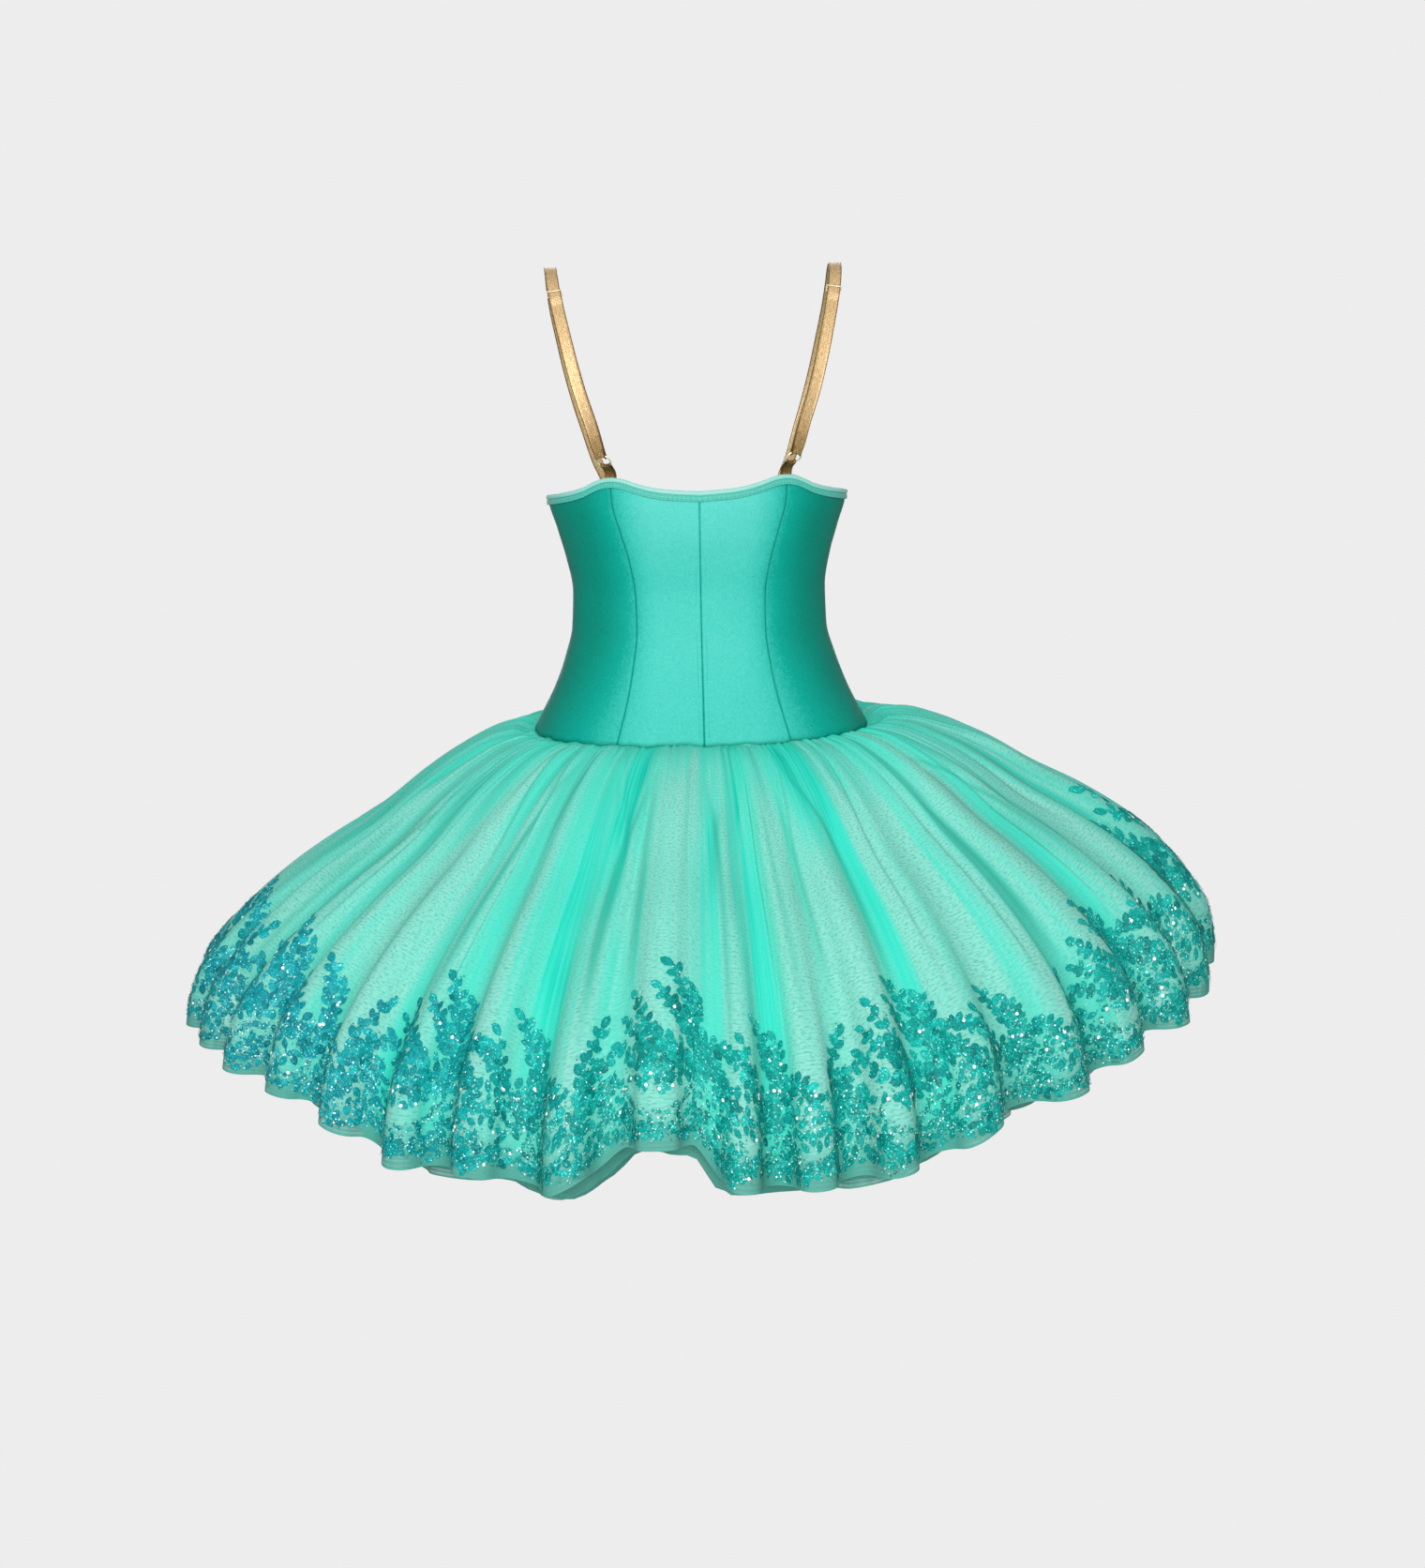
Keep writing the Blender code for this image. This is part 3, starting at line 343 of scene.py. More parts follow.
def skirt_base(angle, share):
    """Points of the smooth bell that the folds stand on."""
    angle, share = np.broadcast_arrays(np.asarray(angle, float), np.asarray(share, float))
    reach = np.maximum(share, 0.0)
    degrees = (np.degrees(angle) + 180) % 360 - 180
    out = smooth_column(SKIRT_PROFILE, "out", reach)
    down = smooth_column(SKIRT_PROFILE, "down", reach)
    profile_hem = SEAM_DROP + smooth_column(SKIRT_PROFILE, "down", 1.0)
    down = down + (smooth_column(HEM, "drop", degrees) - profile_hem) * reach
    down = down + smooth_column(HEM, "sag", degrees) * 4 * reach * np.maximum(1 - reach, 0.0)
    out = out - smooth_column(HEM, "inward", degrees) * reach**HEM_INWARD_GROWTH
    seam = torso(angle, SEAM_DROP)
    depth = np.where(np.cos(angle) > 0, HEM_BACK_DEPTH, HEM_FRONT_DEPTH)
    hem = np.stack([HEM_HALF_WIDTH * np.sin(angle), -depth * np.cos(angle)], -1)
    way = (hem - seam[..., :2]) / (HEM_HALF_WIDTH - BODICE_SECTIONS[-1].half_width)
    way = np.where(out[..., None] < 0, unit(way), way)
    point = np.concatenate([seam[..., :2] + way * out[..., None], (-SEAM_DROP - down)[..., None]], -1)
    drop = SEAM_DROP - ALLOWANCE_RISE
    sewn = torso(angle, drop) - ALLOWANCE_DEPTH * torso_normal(angle, drop)
    return mix(point, sewn, np.clip(share / ALLOWANCE_SHARE, 0, 1)[..., None])


def skirt_normal(angle, share):
    across = skirt_base(angle + 0.01, share) - skirt_base(angle - 0.01, share)
    down = skirt_base(angle, share + 0.01) - skirt_base(angle, share - 0.01)
    return unit(np.cross(down, across))


def layer_ridges(layer):
    if layer.ridges:
        return layer.ridges
    turn = 360 / layer.folds
    found = []
    for i in range(layer.folds):
        stray = FOLD_STRAY * math.sin(FOLD_STRAY_STEP * i + layer.folds)
        unevenness = FOLD_UNEVENNESS * math.sin(FOLD_UNEVENNESS_STEP * i + layer.folds)
        found.append(FoldRidge(turn * (i + stray), layer.fold_height * (1 - FOLD_UNEVENNESS + unevenness)))
    return found


def fold_places(layer, fold):
    """(angle, phase, spacing, height) at places round a layer, counted in folds from its first ridge."""
    ridges = list(layer_ridges(layer))
    ridges.append(FoldRidge(ridges[0].degrees + 360, ridges[0].height))
    degrees = np.array([ridge.degrees for ridge in ridges])
    heights = np.array([ridge.height for ridge in ridges])
    i = np.clip(np.floor(fold).astype(int), 0, layer.folds - 1)
    phase = fold - i
    spacing = degrees[i + 1] - degrees[i]
    height = mix(heights[i], heights[i + 1], ease(phase))
    return np.radians(degrees[i] + spacing * phase), phase, np.radians(spacing), height


def gather_wave(layer, fold, share):
    """How far the gathers stand out, strongest just under the waist."""
    rise = ease(share / GATHER_FULL_SHARE) * (1 - ease((share - GATHER_FADE_SHARE) / GATHER_FADE_LENGTH))
    swell = np.maximum(rise, GATHER_LEAST * ease(share / GATHER_LEAST_SHARE))
    return layer.gather_height * swell * np.sin(TURN * layer.gathers * fold / layer.folds)


def layer_surface(layer, fold, share, extra_rise):
    """Points of a layer's outer face, at places counted in folds round it and shares down it."""
    angle, phase, spacing, height = fold_places(layer, fold)
    reach = np.maximum(share, 0.0)
    strength = reach**FOLD_GROWTH
    lean = FOLD_OVERHANG * strength * spacing / (2 * TURN) * np.sin(2 * TURN * phase)
    depth = layer.seam_depth + (layer.hem_depth - layer.seam_depth) * reach**DEPTH_GROWTH
    rise = height * strength * np.cos(TURN * phase) + gather_wave(layer, fold, share) - depth + extra_rise
    leaned = angle + lean
    return skirt_base(leaned, share) + rise[..., None] * skirt_normal(leaned, share)


def ripple(kind, angle, rng):
    """A periodic uneven wave round the waist, of about -1 to 1."""
    turns = rng.integers(kind.low, kind.high, kind.waves)
    phases = rng.uniform(0, TURN, kind.waves)
    return sum(np.sin(n * angle + p) for n, p in zip(turns, phases)) / math.sqrt(kind.waves)


# Meshes


def add_object(name, data):
    made = bpy.data.objects.new(name, data)
    bpy.context.scene.collection.objects.link(made)
    return made


def place_piece(mesh, material, replaces=()):
    """The mesh as a piece of the garment."""
    mesh.materials.append(material)
    piece = add_object(mesh.name, mesh)
    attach(piece, "root")
    if replaces:
        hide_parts(*replaces)
    return piece


def make_piece(name, points, faces, material, slot, replaces=(), uv=None, values=None, solid=False):
    """A piece from arrays of points and faces, with its cloth coordinates and its values at points."""
    groups = faces if isinstance(faces, list) else [faces]
    points = np.asarray(points, float).reshape(-1, 3)
    corners = np.concatenate([group.ravel() for group in groups])
    sizes = np.concatenate([np.full(len(group), group.shape[1]) for group in groups])
    mesh = bpy.data.meshes.new(name)
    mesh.vertices.add(len(points))
    mesh.vertices.foreach_set("co", points.astype(np.float32).ravel())
    mesh.loops.add(len(corners))
    mesh.loops.foreach_set("vertex_index", corners.astype(np.int32))
    mesh.polygons.add(len(sizes))
    mesh.polygons.foreach_set("loop_start", np.concatenate([[0], np.cumsum(sizes)[:-1]]).astype(np.int32))
    mesh.polygons.foreach_set("use_smooth", np.ones(len(sizes), bool))
    if uv is not None:
        mesh.uv_layers.new(name="cloth").data.foreach_set("uv", np.asarray(uv, np.float32).ravel())
    for key, value in (values or {}).items():
        attribute = mesh.attributes.new(key, "FLOAT", "POINT")
        attribute.data.foreach_set("value", np.asarray(value, np.float32).ravel())
    mesh.update(calc_edges=True)
    if solid:
        bm = bmesh.new()
        bm.from_mesh(mesh)
        bmesh.ops.recalc_face_normals(bm, faces=bm.faces)
        bm.to_mesh(mesh)
        bm.free()
    return place_piece(mesh, material, replaces)


def grid_faces(rows, columns, closed=False):
    """Faces of a grid, facing out where its columns run round from the back to the right."""
    i, j = np.meshgrid(np.arange(rows - 1), np.arange(columns if closed else columns - 1), indexing="ij")
    k = (j + 1) % columns
    quads = np.stack([i * columns + j, (i + 1) * columns + j, (i + 1) * columns + k, i * columns + k], -1)
    return quads.reshape(-1, 4)


def grid_uv(rows_at, columns_at):
    """Corner coordinates for grid_faces, with a value for each row and for each column line."""
    spans = len(columns_at) - 1
    i, j = np.meshgrid(np.arange(len(rows_at) - 1), np.arange(spans), indexing="ij")
    u = np.stack([columns_at[j], columns_at[j], columns_at[j + 1], columns_at[j + 1]], -1)
    v = np.stack([rows_at[i], rows_at[i + 1], rows_at[i + 1], rows_at[i]], -1)
    return np.stack([u, v], -1).reshape(-1, 2)


def wall(outer, inner):
    """Points and faces of a closed wall between two open grids."""
    rows, columns = outer.shape[:2]
    count = rows * columns
    face = grid_faces(rows, columns)
    index = np.arange(count).reshape(rows, columns)
    sides = [
        np.stack([line[:-1], line[1:], line[1:] + count, line[:-1] + count], -1)
        for line in (index[0], index[-1], index[:, 0], index[:, -1])
    ]
    points = np.concatenate([outer.reshape(-1, 3), inner.reshape(-1, 3)])
    return points, np.concatenate([face, face[:, ::-1] + count, *sides])


def hoop(loops):
    """Points and faces of a closed tube through rings of points, steps by ring points."""
    steps, count = loops.shape[:2]
    i, j = np.meshgrid(np.arange(steps), np.arange(count), indexing="ij")
    k, m = (i + 1) % steps, (j + 1) % count
    quads = np.stack([i * count + j, i * count + m, k * count + m, k * count + j], -1)
    return loops.reshape(-1, 3), quads.reshape(-1, 4)


def repeated(groups, copies, size):
    """Groups of faces, repeated for copies of a shape that has size points."""
    start = (np.arange(copies) * size)[:, None, None]
    return [(np.array(group)[None] + start).reshape(-1, len(group[0])) for group in groups]


def round_angles(count):
    return np.linspace(0, TURN, count, endpoint=False)


def grid_normals(points):
    """Outward normals of a grid whose columns run all round."""
    across = np.roll(points, -1, axis=1) - np.roll(points, 1, axis=1)
    return unit(np.cross(np.gradient(points, axis=0), across))


# Materials


def srgb(red, green, blue):
    """A colour read in 8-bit steps, as the renderer's linear one."""
    parts = []
    for value in (red, green, blue):
        share = value / 255
        parts.append(share / 12.92 if share <= 0.04045 else ((share + 0.055) / 1.055) ** 2.4)
    return (*parts, 1.0)


def stops(*rows):
    """The stops of a colour ramp, from rows of place, red, green and blue."""
    return [(place, srgb(*colour)) for place, *colour in rows]


class Nodes:
    """The shader nodes of a material or world. Their inputs are sockets to link from, or plain values."""

    def __init__(self, owner, output="Material Output"):
        owner.use_nodes = True
        self.owner = owner
        self.tree = owner.node_tree
        self.output = self.tree.nodes[output]
        self.shader = self.tree.nodes.get("Principled BSDF")

    def fill(self, node, inputs):
        for key, value in inputs.items():
            if isinstance(value, bpy.types.NodeSocket):
                self.tree.links.new(value, node.inputs[key])
            else:
                node.inputs[key].default_value = value

    def finish(self, inputs):
        """The material, with these inputs of its shader."""
        self.fill(self.shader, inputs)
        return self.owner

    def show(self, surface):
        """The material or world, with this surface."""
        self.fill(self.output, {"Surface": surface})
        return self.owner

    def add(self, kind, inputs=None, output=0, **settings):
        """The output of a new node."""
        node = self.tree.nodes.new(f"ShaderNode{kind}")
        for key, value in settings.items():
            setattr(node, key, value)
        self.fill(node, inputs or {})
        return node.outputs[output]

    def math(self, operation, *values, clamp=False):
        return self.add("Math", dict(enumerate(values)), operation=operation, use_clamp=clamp)

    def scaled(self, value, factor, offset, clamp=False):
        """The value times the factor, plus the offset."""
        return self.math("MULTIPLY_ADD", value, factor, offset, clamp=clamp)

    def attribute(self, name):
        return self.add("Attribute", output="Fac", attribute_name=name)

    def place(self):
        """Coordinates in the object's own space, in metres."""
        return self.add("TexCoord", output="Object")

    def on_cloth(self, across, down):
        """Coordinates on the flat cloth, in metres times these scales."""
        uv = self.add("UVMap", output="UV", uv_map="cloth")
        return self.add("VectorMath", {0: uv, 1: (across, down, 1.0)}, operation="MULTIPLY")

    def noise(self, vector, scale=1.0, detail=2.0, roughness=0.5):
        inputs = {"Vector": vector, "Scale": scale, "Detail": detail, "Roughness": roughness}
        return self.add("TexNoise", inputs, "Fac")

    def wave(self, vector, direction, scale, distortion, detail=2.0, detail_scale=1.0):
        inputs = {"Vector": vector, "Scale": scale, "Distortion": distortion, "Detail": detail}
        inputs["Detail Scale"] = detail_scale
        return self.add("TexWave", inputs, "Fac", bands_direction=direction)

    def ramp(self, value, colours):
        """A colour ramp of (place, colour) stops."""
        colour = self.add("ValToRGB", {"Fac": value}, "Color")
        elements = colour.node.color_ramp.elements
        while len(elements) < len(colours):
            elements.new(0.5)
        for element, (position, shade) in zip(elements, colours):
            element.position = position
            element.color = shade
        return colour

    def mixed(self, factor, first, second):
        inputs = {"Factor": factor, "A": first, "B": second}
        return self.add("Mix", inputs, "Result", data_type="RGBA")

    def bump(self, height, strength, distance):
        return self.add("Bump", {"Height": height, "Strength": strength, "Distance": distance})


def satin_material():
    """Stretch satin: a knit grain of about a millimetre, faint mottling, a soft broad gloss, and a painted
    sheen and painted shade from each point's tone.
    """
    nodes = Nodes(bpy.data.materials.new("teal_satin"))
    mottle = nodes.noise(nodes.place(), 240.0, 4.0, 0.65)
    grain = nodes.noise(nodes.place(), 620.0)
    tone = nodes.math("ADD", nodes.attribute("painted_sheen_and_shade"), nodes.scaled(mottle, 0.24, -0.12))
    tone = nodes.math("ADD", tone, nodes.scaled(grain, 0.36, -0.18), clamp=True)
    teals = stops((0.0, 0, 132, 114), (0.42, 2, 158, 142), (0.68, 56, 186, 172), (1.0, 90, 203, 191))
    return nodes.finish({
        "Base Color": nodes.ramp(tone, teals),
        "Roughness": 0.5,
        "Specular IOR Level": 0.12,
        "Normal": nodes.bump(grain, 0.35, 0.0005),
    })


def binding_material():
    nodes = Nodes(bpy.data.materials.new("pale_teal_binding"))
    grain = nodes.noise(nodes.place(), 700.0)
    # The fold value is painted light and shade across the binding's section
    tone = nodes.math("ADD", nodes.attribute("fold"), nodes.scaled(grain, 0.3, -0.15), clamp=True)
    teals = stops((0.0, 0, 136, 118), (0.45, 66, 186, 170), (1.0, 142, 208, 198))
    return nodes.finish({
        "Base Color": nodes.ramp(tone, teals),
        "Roughness": 0.5,
        "Sheen Weight": 0.15,
        "Normal": nodes.bump(grain, 0.3, 0.0004),
    })


def thread_material(name, colour):
    nodes = Nodes(bpy.data.materials.new(name))
    dark = (*(channel * 0.6 for channel in colour[:3]), 1.0)
    twist = nodes.noise(nodes.place(), 1800.0)
    return nodes.finish({"Base Color": nodes.ramp(twist, ((0.3, dark), (0.7, colour))), "Roughness": 0.55})


def elastic_material():
    """Gold woven elastic: rows of ribs across, ribbed edges, brighter threads along, painted glints from a
    fine noise, and painted shade along the cords and near the ring.
    """
    nodes = Nodes(bpy.data.materials.new("gold_elastic"))
    cloth = nodes.on_cloth(1.0, 1.0)
    ribs = nodes.wave(cloth, "Y", 230.0, 1.6, detail_scale=2.0)
    threads = nodes.wave(cloth, "X", 160.0, 1.0)
    painted_glint = nodes.noise(nodes.on_cloth(620.0, 240.0), detail=3.0, roughness=0.7)
    weave = nodes.scaled(ribs, 0.32, nodes.math("MULTIPLY", threads, 0.12))
    # Painted glints from the noise; painted shade from each point's shade value
    tone = nodes.scaled(painted_glint, 0.80, nodes.math("SUBTRACT", weave, 0.14))
    tone = nodes.math("SUBTRACT", tone, nodes.attribute("shade"), clamp=True)
    golds = stops((0.0, 86, 60, 28), (0.25, 158, 118, 62), (0.5, 214, 182, 130), (0.8, 242, 216, 172))
    return nodes.finish({
        "Base Color": nodes.ramp(tone, golds),
        "Metallic": 0.35,
        "Roughness": 0.38,
        "Normal": nodes.bump(weave, 0.4, 0.0004),
    })


def gold_material():
    nodes = Nodes(bpy.data.materials.new("gold_plating"))
    wear = nodes.noise(nodes.place(), 600.0, 3.0)
    return nodes.finish({
        "Base Color": nodes.ramp(wear, stops((0.3, 244, 222, 172), (0.7, 255, 248, 226))),
        "Metallic": 0.6,
        "Roughness": nodes.scaled(wear, 0.2, 0.12),
    })


# The net band along the hem, in the painted shade of the skirt's inside seen through it
HEM_NET_SHADE = srgb(84, 156, 144)
# Painted fold shadow: the colour of the dark thin lines where the cloth turns over
PAINTED_FOLD_SHADOW = srgb(36, 186, 164)
LACE_GROUND = srgb(22, 178, 162)
NET_DASH = srgb(84, 188, 168)
# The ramps' pale cyan and white stops are painted glints
LACE_STOPS = (0.0, 0.35, 0.62, 0.85, 1.0)
LACE_GREENS = ((0, 104, 98), (0, 158, 146), (34, 200, 186), (120, 236, 228), (250, 255, 255))
LACE_BLUES = ((0, 100, 122), (6, 146, 164), (48, 190, 206), (140, 232, 240), (250, 255, 255))


def tulle_material(name, colours, least_alpha, most_alpha):
    """Tulle: streaks where the cloth lies denser or more open down it, painted shade in its fold troughs,
    painted shadows and highlights along thin fold lines, a net band at the hem in painted shade, and a net of
    short dashes across it.
    """
    nodes = Nodes(bpy.data.materials.new(name))
    broad = nodes.noise(nodes.on_cloth(26.0, 1.1), detail=3.0, roughness=0.6)
    narrow = nodes.noise(nodes.on_cloth(230.0, 2.8), detail=3.0, roughness=0.6)
    dashes = nodes.noise(nodes.on_cloth(170.0, 620.0), detail=1.0)
    threads = nodes.wave(nodes.on_cloth(1.0, 1.0), "Y", 90.0, 0.4, detail=1.0)
    streaks = nodes.scaled(narrow, 1.0, nodes.math("SUBTRACT", nodes.scaled(broad, 1.1, -0.55), 0.5))
    tone = nodes.math("ADD", nodes.attribute("dense_and_painted_light"), streaks, clamp=True)
    open_net = nodes.math("SUBTRACT", 1.0, tone, clamp=True)
    dash = nodes.scaled(dashes, 3.4, -1.55, clamp=True)
    speck = nodes.math("MULTIPLY", dash, nodes.math("MULTIPLY", open_net, 0.75))
    hem = nodes.attribute("hem")
    # Painted fold shadows on the line marks, lace ground where the lace lies doubled, and the hem's net band
    # in its painted shade
    marks = (("line", 0.8, PAINTED_FOLD_SHADOW), ("doubled", 0.9, LACE_GROUND), ("hem", 0.85, HEM_NET_SHADE))
    colour = nodes.ramp(tone, colours)
    for mark, share, shade in marks:
        colour = nodes.mixed(nodes.math("MULTIPLY", nodes.attribute(mark), share), colour, shade)
    colour = nodes.mixed(speck, colour, NET_DASH)
    gaps = nodes.math("MULTIPLY", threads, nodes.math("MULTIPLY", nodes.scaled(hem, 0.16, 0.05), open_net))
    alpha = nodes.scaled(tone, most_alpha - least_alpha, least_alpha)
    # The net band at the hem is made more opaque, so its painted shade shows
    alpha = nodes.scaled(hem, 0.26, nodes.math("SUBTRACT", alpha, gaps), clamp=True)
    through = nodes.add("BsdfTranslucent", {"Color": colour})
    glow = nodes.add("MixShader", {0: alpha, 1: nodes.add("BsdfTransparent"), 2: through})
    both = nodes.add("MixShader", {0: 0.2, 1: nodes.shader.outputs[0], 2: glow})
    nodes.show(both)
    return nodes.finish({"Base Color": colour, "Alpha": alpha, "Roughness": 0.8, "Specular IOR Level": 0.08})


def lace_material(name, roughness, gloss, grain_scale):
    """Glittered embroidery or sequins, from dark teal over cyan to white by the piece's own tone, with
    painted glints on the brightest flakes; the pale cyan to white end is painted glint.
    """
    nodes = Nodes(bpy.data.materials.new(name))
    grain = nodes.noise(nodes.place(), grain_scale)
    flakes = nodes.add("TexVoronoi", {"Vector": nodes.place(), "Scale": grain_scale}, "Color")
    flake = nodes.add("SeparateColor", {"Color": flakes})
    # Painted glints: the brightest flakes are pushed up towards white
    painted_glint = nodes.scaled(flake, 8.0, -7.3, clamp=True)
    uneven = nodes.scaled(flake, 0.30, nodes.scaled(painted_glint, 0.5, -0.16))
    tone = nodes.math("ADD", nodes.attribute("tone"), uneven, clamp=True)
    green, blue = (
        nodes.ramp(tone, stops(*((place, *colour) for place, colour in zip(LACE_STOPS, colours))))
        for colours in (LACE_GREENS, LACE_BLUES)
    )
    return nodes.finish({
        "Base Color": nodes.mixed(nodes.attribute("blue"), green, blue),
        "Roughness": roughness,
        "Specular IOR Level": gloss,
        "Normal": nodes.bump(grain, 0.25, 0.0004),
    })


# Bodice


def make_panel(panel, material):
    """A panel with its edges rolled into the seams, a slightly uneven lower edge, and a painted sheen in its
    middle with painted shade towards its sides, its seams and low down.
    """
    down = np.linspace(0, 1, PANEL_ROWS)[:, None]
    near_seams = (PANEL_EDGE_STEP, 2 * PANEL_EDGE_STEP, 1 - 2 * PANEL_EDGE_STEP, 1 - PANEL_EDGE_STEP)
    across = np.unique([*np.linspace(0, 1, panel.columns), *near_seams])[None, :]
    angle, drop = panel_places(panel, down, across)
    waves = sum(wave.height * np.sin(wave.turns * angle + wave.start) for wave in LOWER_EDGE_WAVES)
    drop = drop + waves * ease((down - 0.8) / 0.2)
    width = step_lengths(torso(angle, drop), axis=1)
    from_start = np.concatenate([np.zeros((len(down), 1)), np.cumsum(width, axis=1)], axis=1)
    to_seam = np.minimum(from_start, from_start[:, -1:] - from_start)
    dip = SEAM_DIP * (1 - ease(to_seam / SEAM_ROLL))
    pull = PULL_HEIGHT * np.sin(9 * angle + 14 * drop / SEAM_DROP) * np.sin(11 * down)
    normal = torso_normal(angle, drop)
    outer = torso(angle, drop) - (dip - pull)[..., None] * normal
    points, faces = wall(outer, outer - (BODICE_WALL - PANEL_THINNING) * normal)
    # Painted sheen and shade: lighter in the middle and higher up, darker towards the sides, low down and
    # along the seams
    aside = np.abs(outer[..., 0]) / smooth_column(BODICE_SECTIONS, "half_width", drop)
    low = ease((drop - 0.35) / 0.11)
    high = 1 - ease((drop - 0.24) / 0.07)
    middle_sheen = MIDDLE_SHEEN_TONE + HIGH_SHEEN_RISE * high
    painted_sheen_and_shade = mix(middle_sheen, SIDE_SHADE_TONE, ease((aside - 0.30) / (0.54 + 0.28 * low)))
    painted_sheen_and_shade = painted_sheen_and_shade - LOW_SHADE_FALL * low * (1 - aside)
    painted_sheen_and_shade = painted_sheen_and_shade - SEAM_SHADE * (1 - ease(to_seam / SEAM_SHADE_WIDTH))
    piece = make_piece(
        f"{panel.name}_cloth", points, faces, material, "bodice_cloth", [panel.name],
        values={"painted_sheen_and_shade": np.tile(painted_sheen_and_shade.ravel(), 2)}, solid=True,
    )


def stitches(points, alongs, outs):
    """Points and faces of small rounded stitches, each at a point, along one way and facing another."""
    sides = 6
    around = [(math.cos(TURN * k / sides), math.sin(TURN * k / sides)) for k in range(sides)]
    waists = [(along, *place) for along in (-0.6, 0.6) for place in around]
    template = np.array([(-1.0, 0.0, 0.0), *waists, (1.0, 0.0, 0.0)])
    ring = np.arange(sides)
    turn = (ring + 1) % sides
    tris = np.concatenate([
        np.stack([np.zeros(sides, int), 1 + turn, 1 + ring], -1),
        np.stack([np.full(sides, 2 * sides + 1), 1 + sides + ring, 1 + sides + turn], -1),
    ])
    quads = np.stack([1 + ring, 1 + turn, 1 + sides + turn, 1 + sides + ring], -1)
    ways = (alongs, unit(np.cross(alongs, outs)), outs)
    sizes = (STITCH_LENGTH / 2, STITCH_RADIUS, STITCH_RADIUS)
    moves = [way[:, None] * column[None, :, None] for way, column in zip(ways, (template * sizes).T)]
    placed = points[:, None] + sum(moves)
    return placed.reshape(-1, 3), repeated((quads, tris), len(points), len(template))


def make_seam_stitches(material):
    """A row of stitches on each side of every seam of the bodice."""
    drops = np.arange(STITCHES_FROM_DROP, SEAM_DROP - STITCHES_END_ABOVE_SEAM, STITCH_STEP)
    rows = []
    for panel in PANELS:
        seam = seam_angle(panel.first_seam, drops)
        for side in (-1, 1):
            angles = seam + side * STITCH_FROM_SEAM / np.linalg.norm(torso(seam, drops)[:, :2], axis=-1)
            outs = torso_normal(angles, drops)
            rows.append((torso(angles, drops) - STITCH_SINK * outs, unit(torso_up(angles, drops)), outs))
    points, faces = stitches(*(np.concatenate(column) for column in zip(*rows)))
    make_piece("seam_stitches", points, faces, material, "bodice_cloth")


def binding_frames(steps):
    """Places all round the top edge, with the ways out of the cloth and up it."""
    angles = round_angles(steps)
    drops = top_edge_drop(angles)
    return torso(angles, drops), torso_normal(angles, drops), unit(torso_up(angles, drops))


def make_binding(material, thread):
    edge, out, up = binding_frames(BINDING_STEPS)
    section = np.array(BINDING_SECTION)[None]
    points, faces = hoop(edge[:, None] + out[:, None] * section[..., :1] + up[:, None] * section[..., 1:2])
    # Each point takes its section point's painted light and shade as its fold value
    piece = make_piece(
        "top_binding_cloth", points, faces, material, "binding_cloth", ["top_binding"],
        values={"fold": np.tile(section[0, :, 2], BINDING_STEPS)}, solid=True,
    )
    around = np.linalg.norm(edge - np.roll(edge, 1, axis=0), axis=-1).sum()
    edge, out, up = binding_frames(int(around / STITCH_STEP))
    along = unit(np.roll(edge, -1, axis=0) - np.roll(edge, 1, axis=0))
    rows = [edge + out * BINDING_STITCH_OUT + up * line for line in BINDING_STITCH_LINES]
    points, faces = stitches(np.concatenate(rows), *(np.tile(way, (len(rows), 1)) for way in (along, out)))
    make_piece("binding_stitches", points, faces, thread, "binding_cloth")


# Straps


def hermite_path(points, samples):
    """Points on a smooth curve through the given rows."""
    spans = step_lengths(points[:, :3])
    slopes = np.diff(points, axis=0) / spans[:, None]
    before, after = spans[:-1, None], spans[1:, None]
    inner = (slopes[:-1] * after + slopes[1:] * before) / (before + after)
    tangents = np.concatenate([slopes[:1], inner, slopes[-1:]])
    a, b, c, d = hermite((np.arange(samples) / samples)[None, :, None])
    span = spans[:, None, None]
    found = points[:-1, None] * a + tangents[:-1, None] * span * b
    found = found + points[1:, None] * c + tangents[1:, None] * span * d
    return np.concatenate([found.reshape(-1, points.shape[1]), points[-1:]])


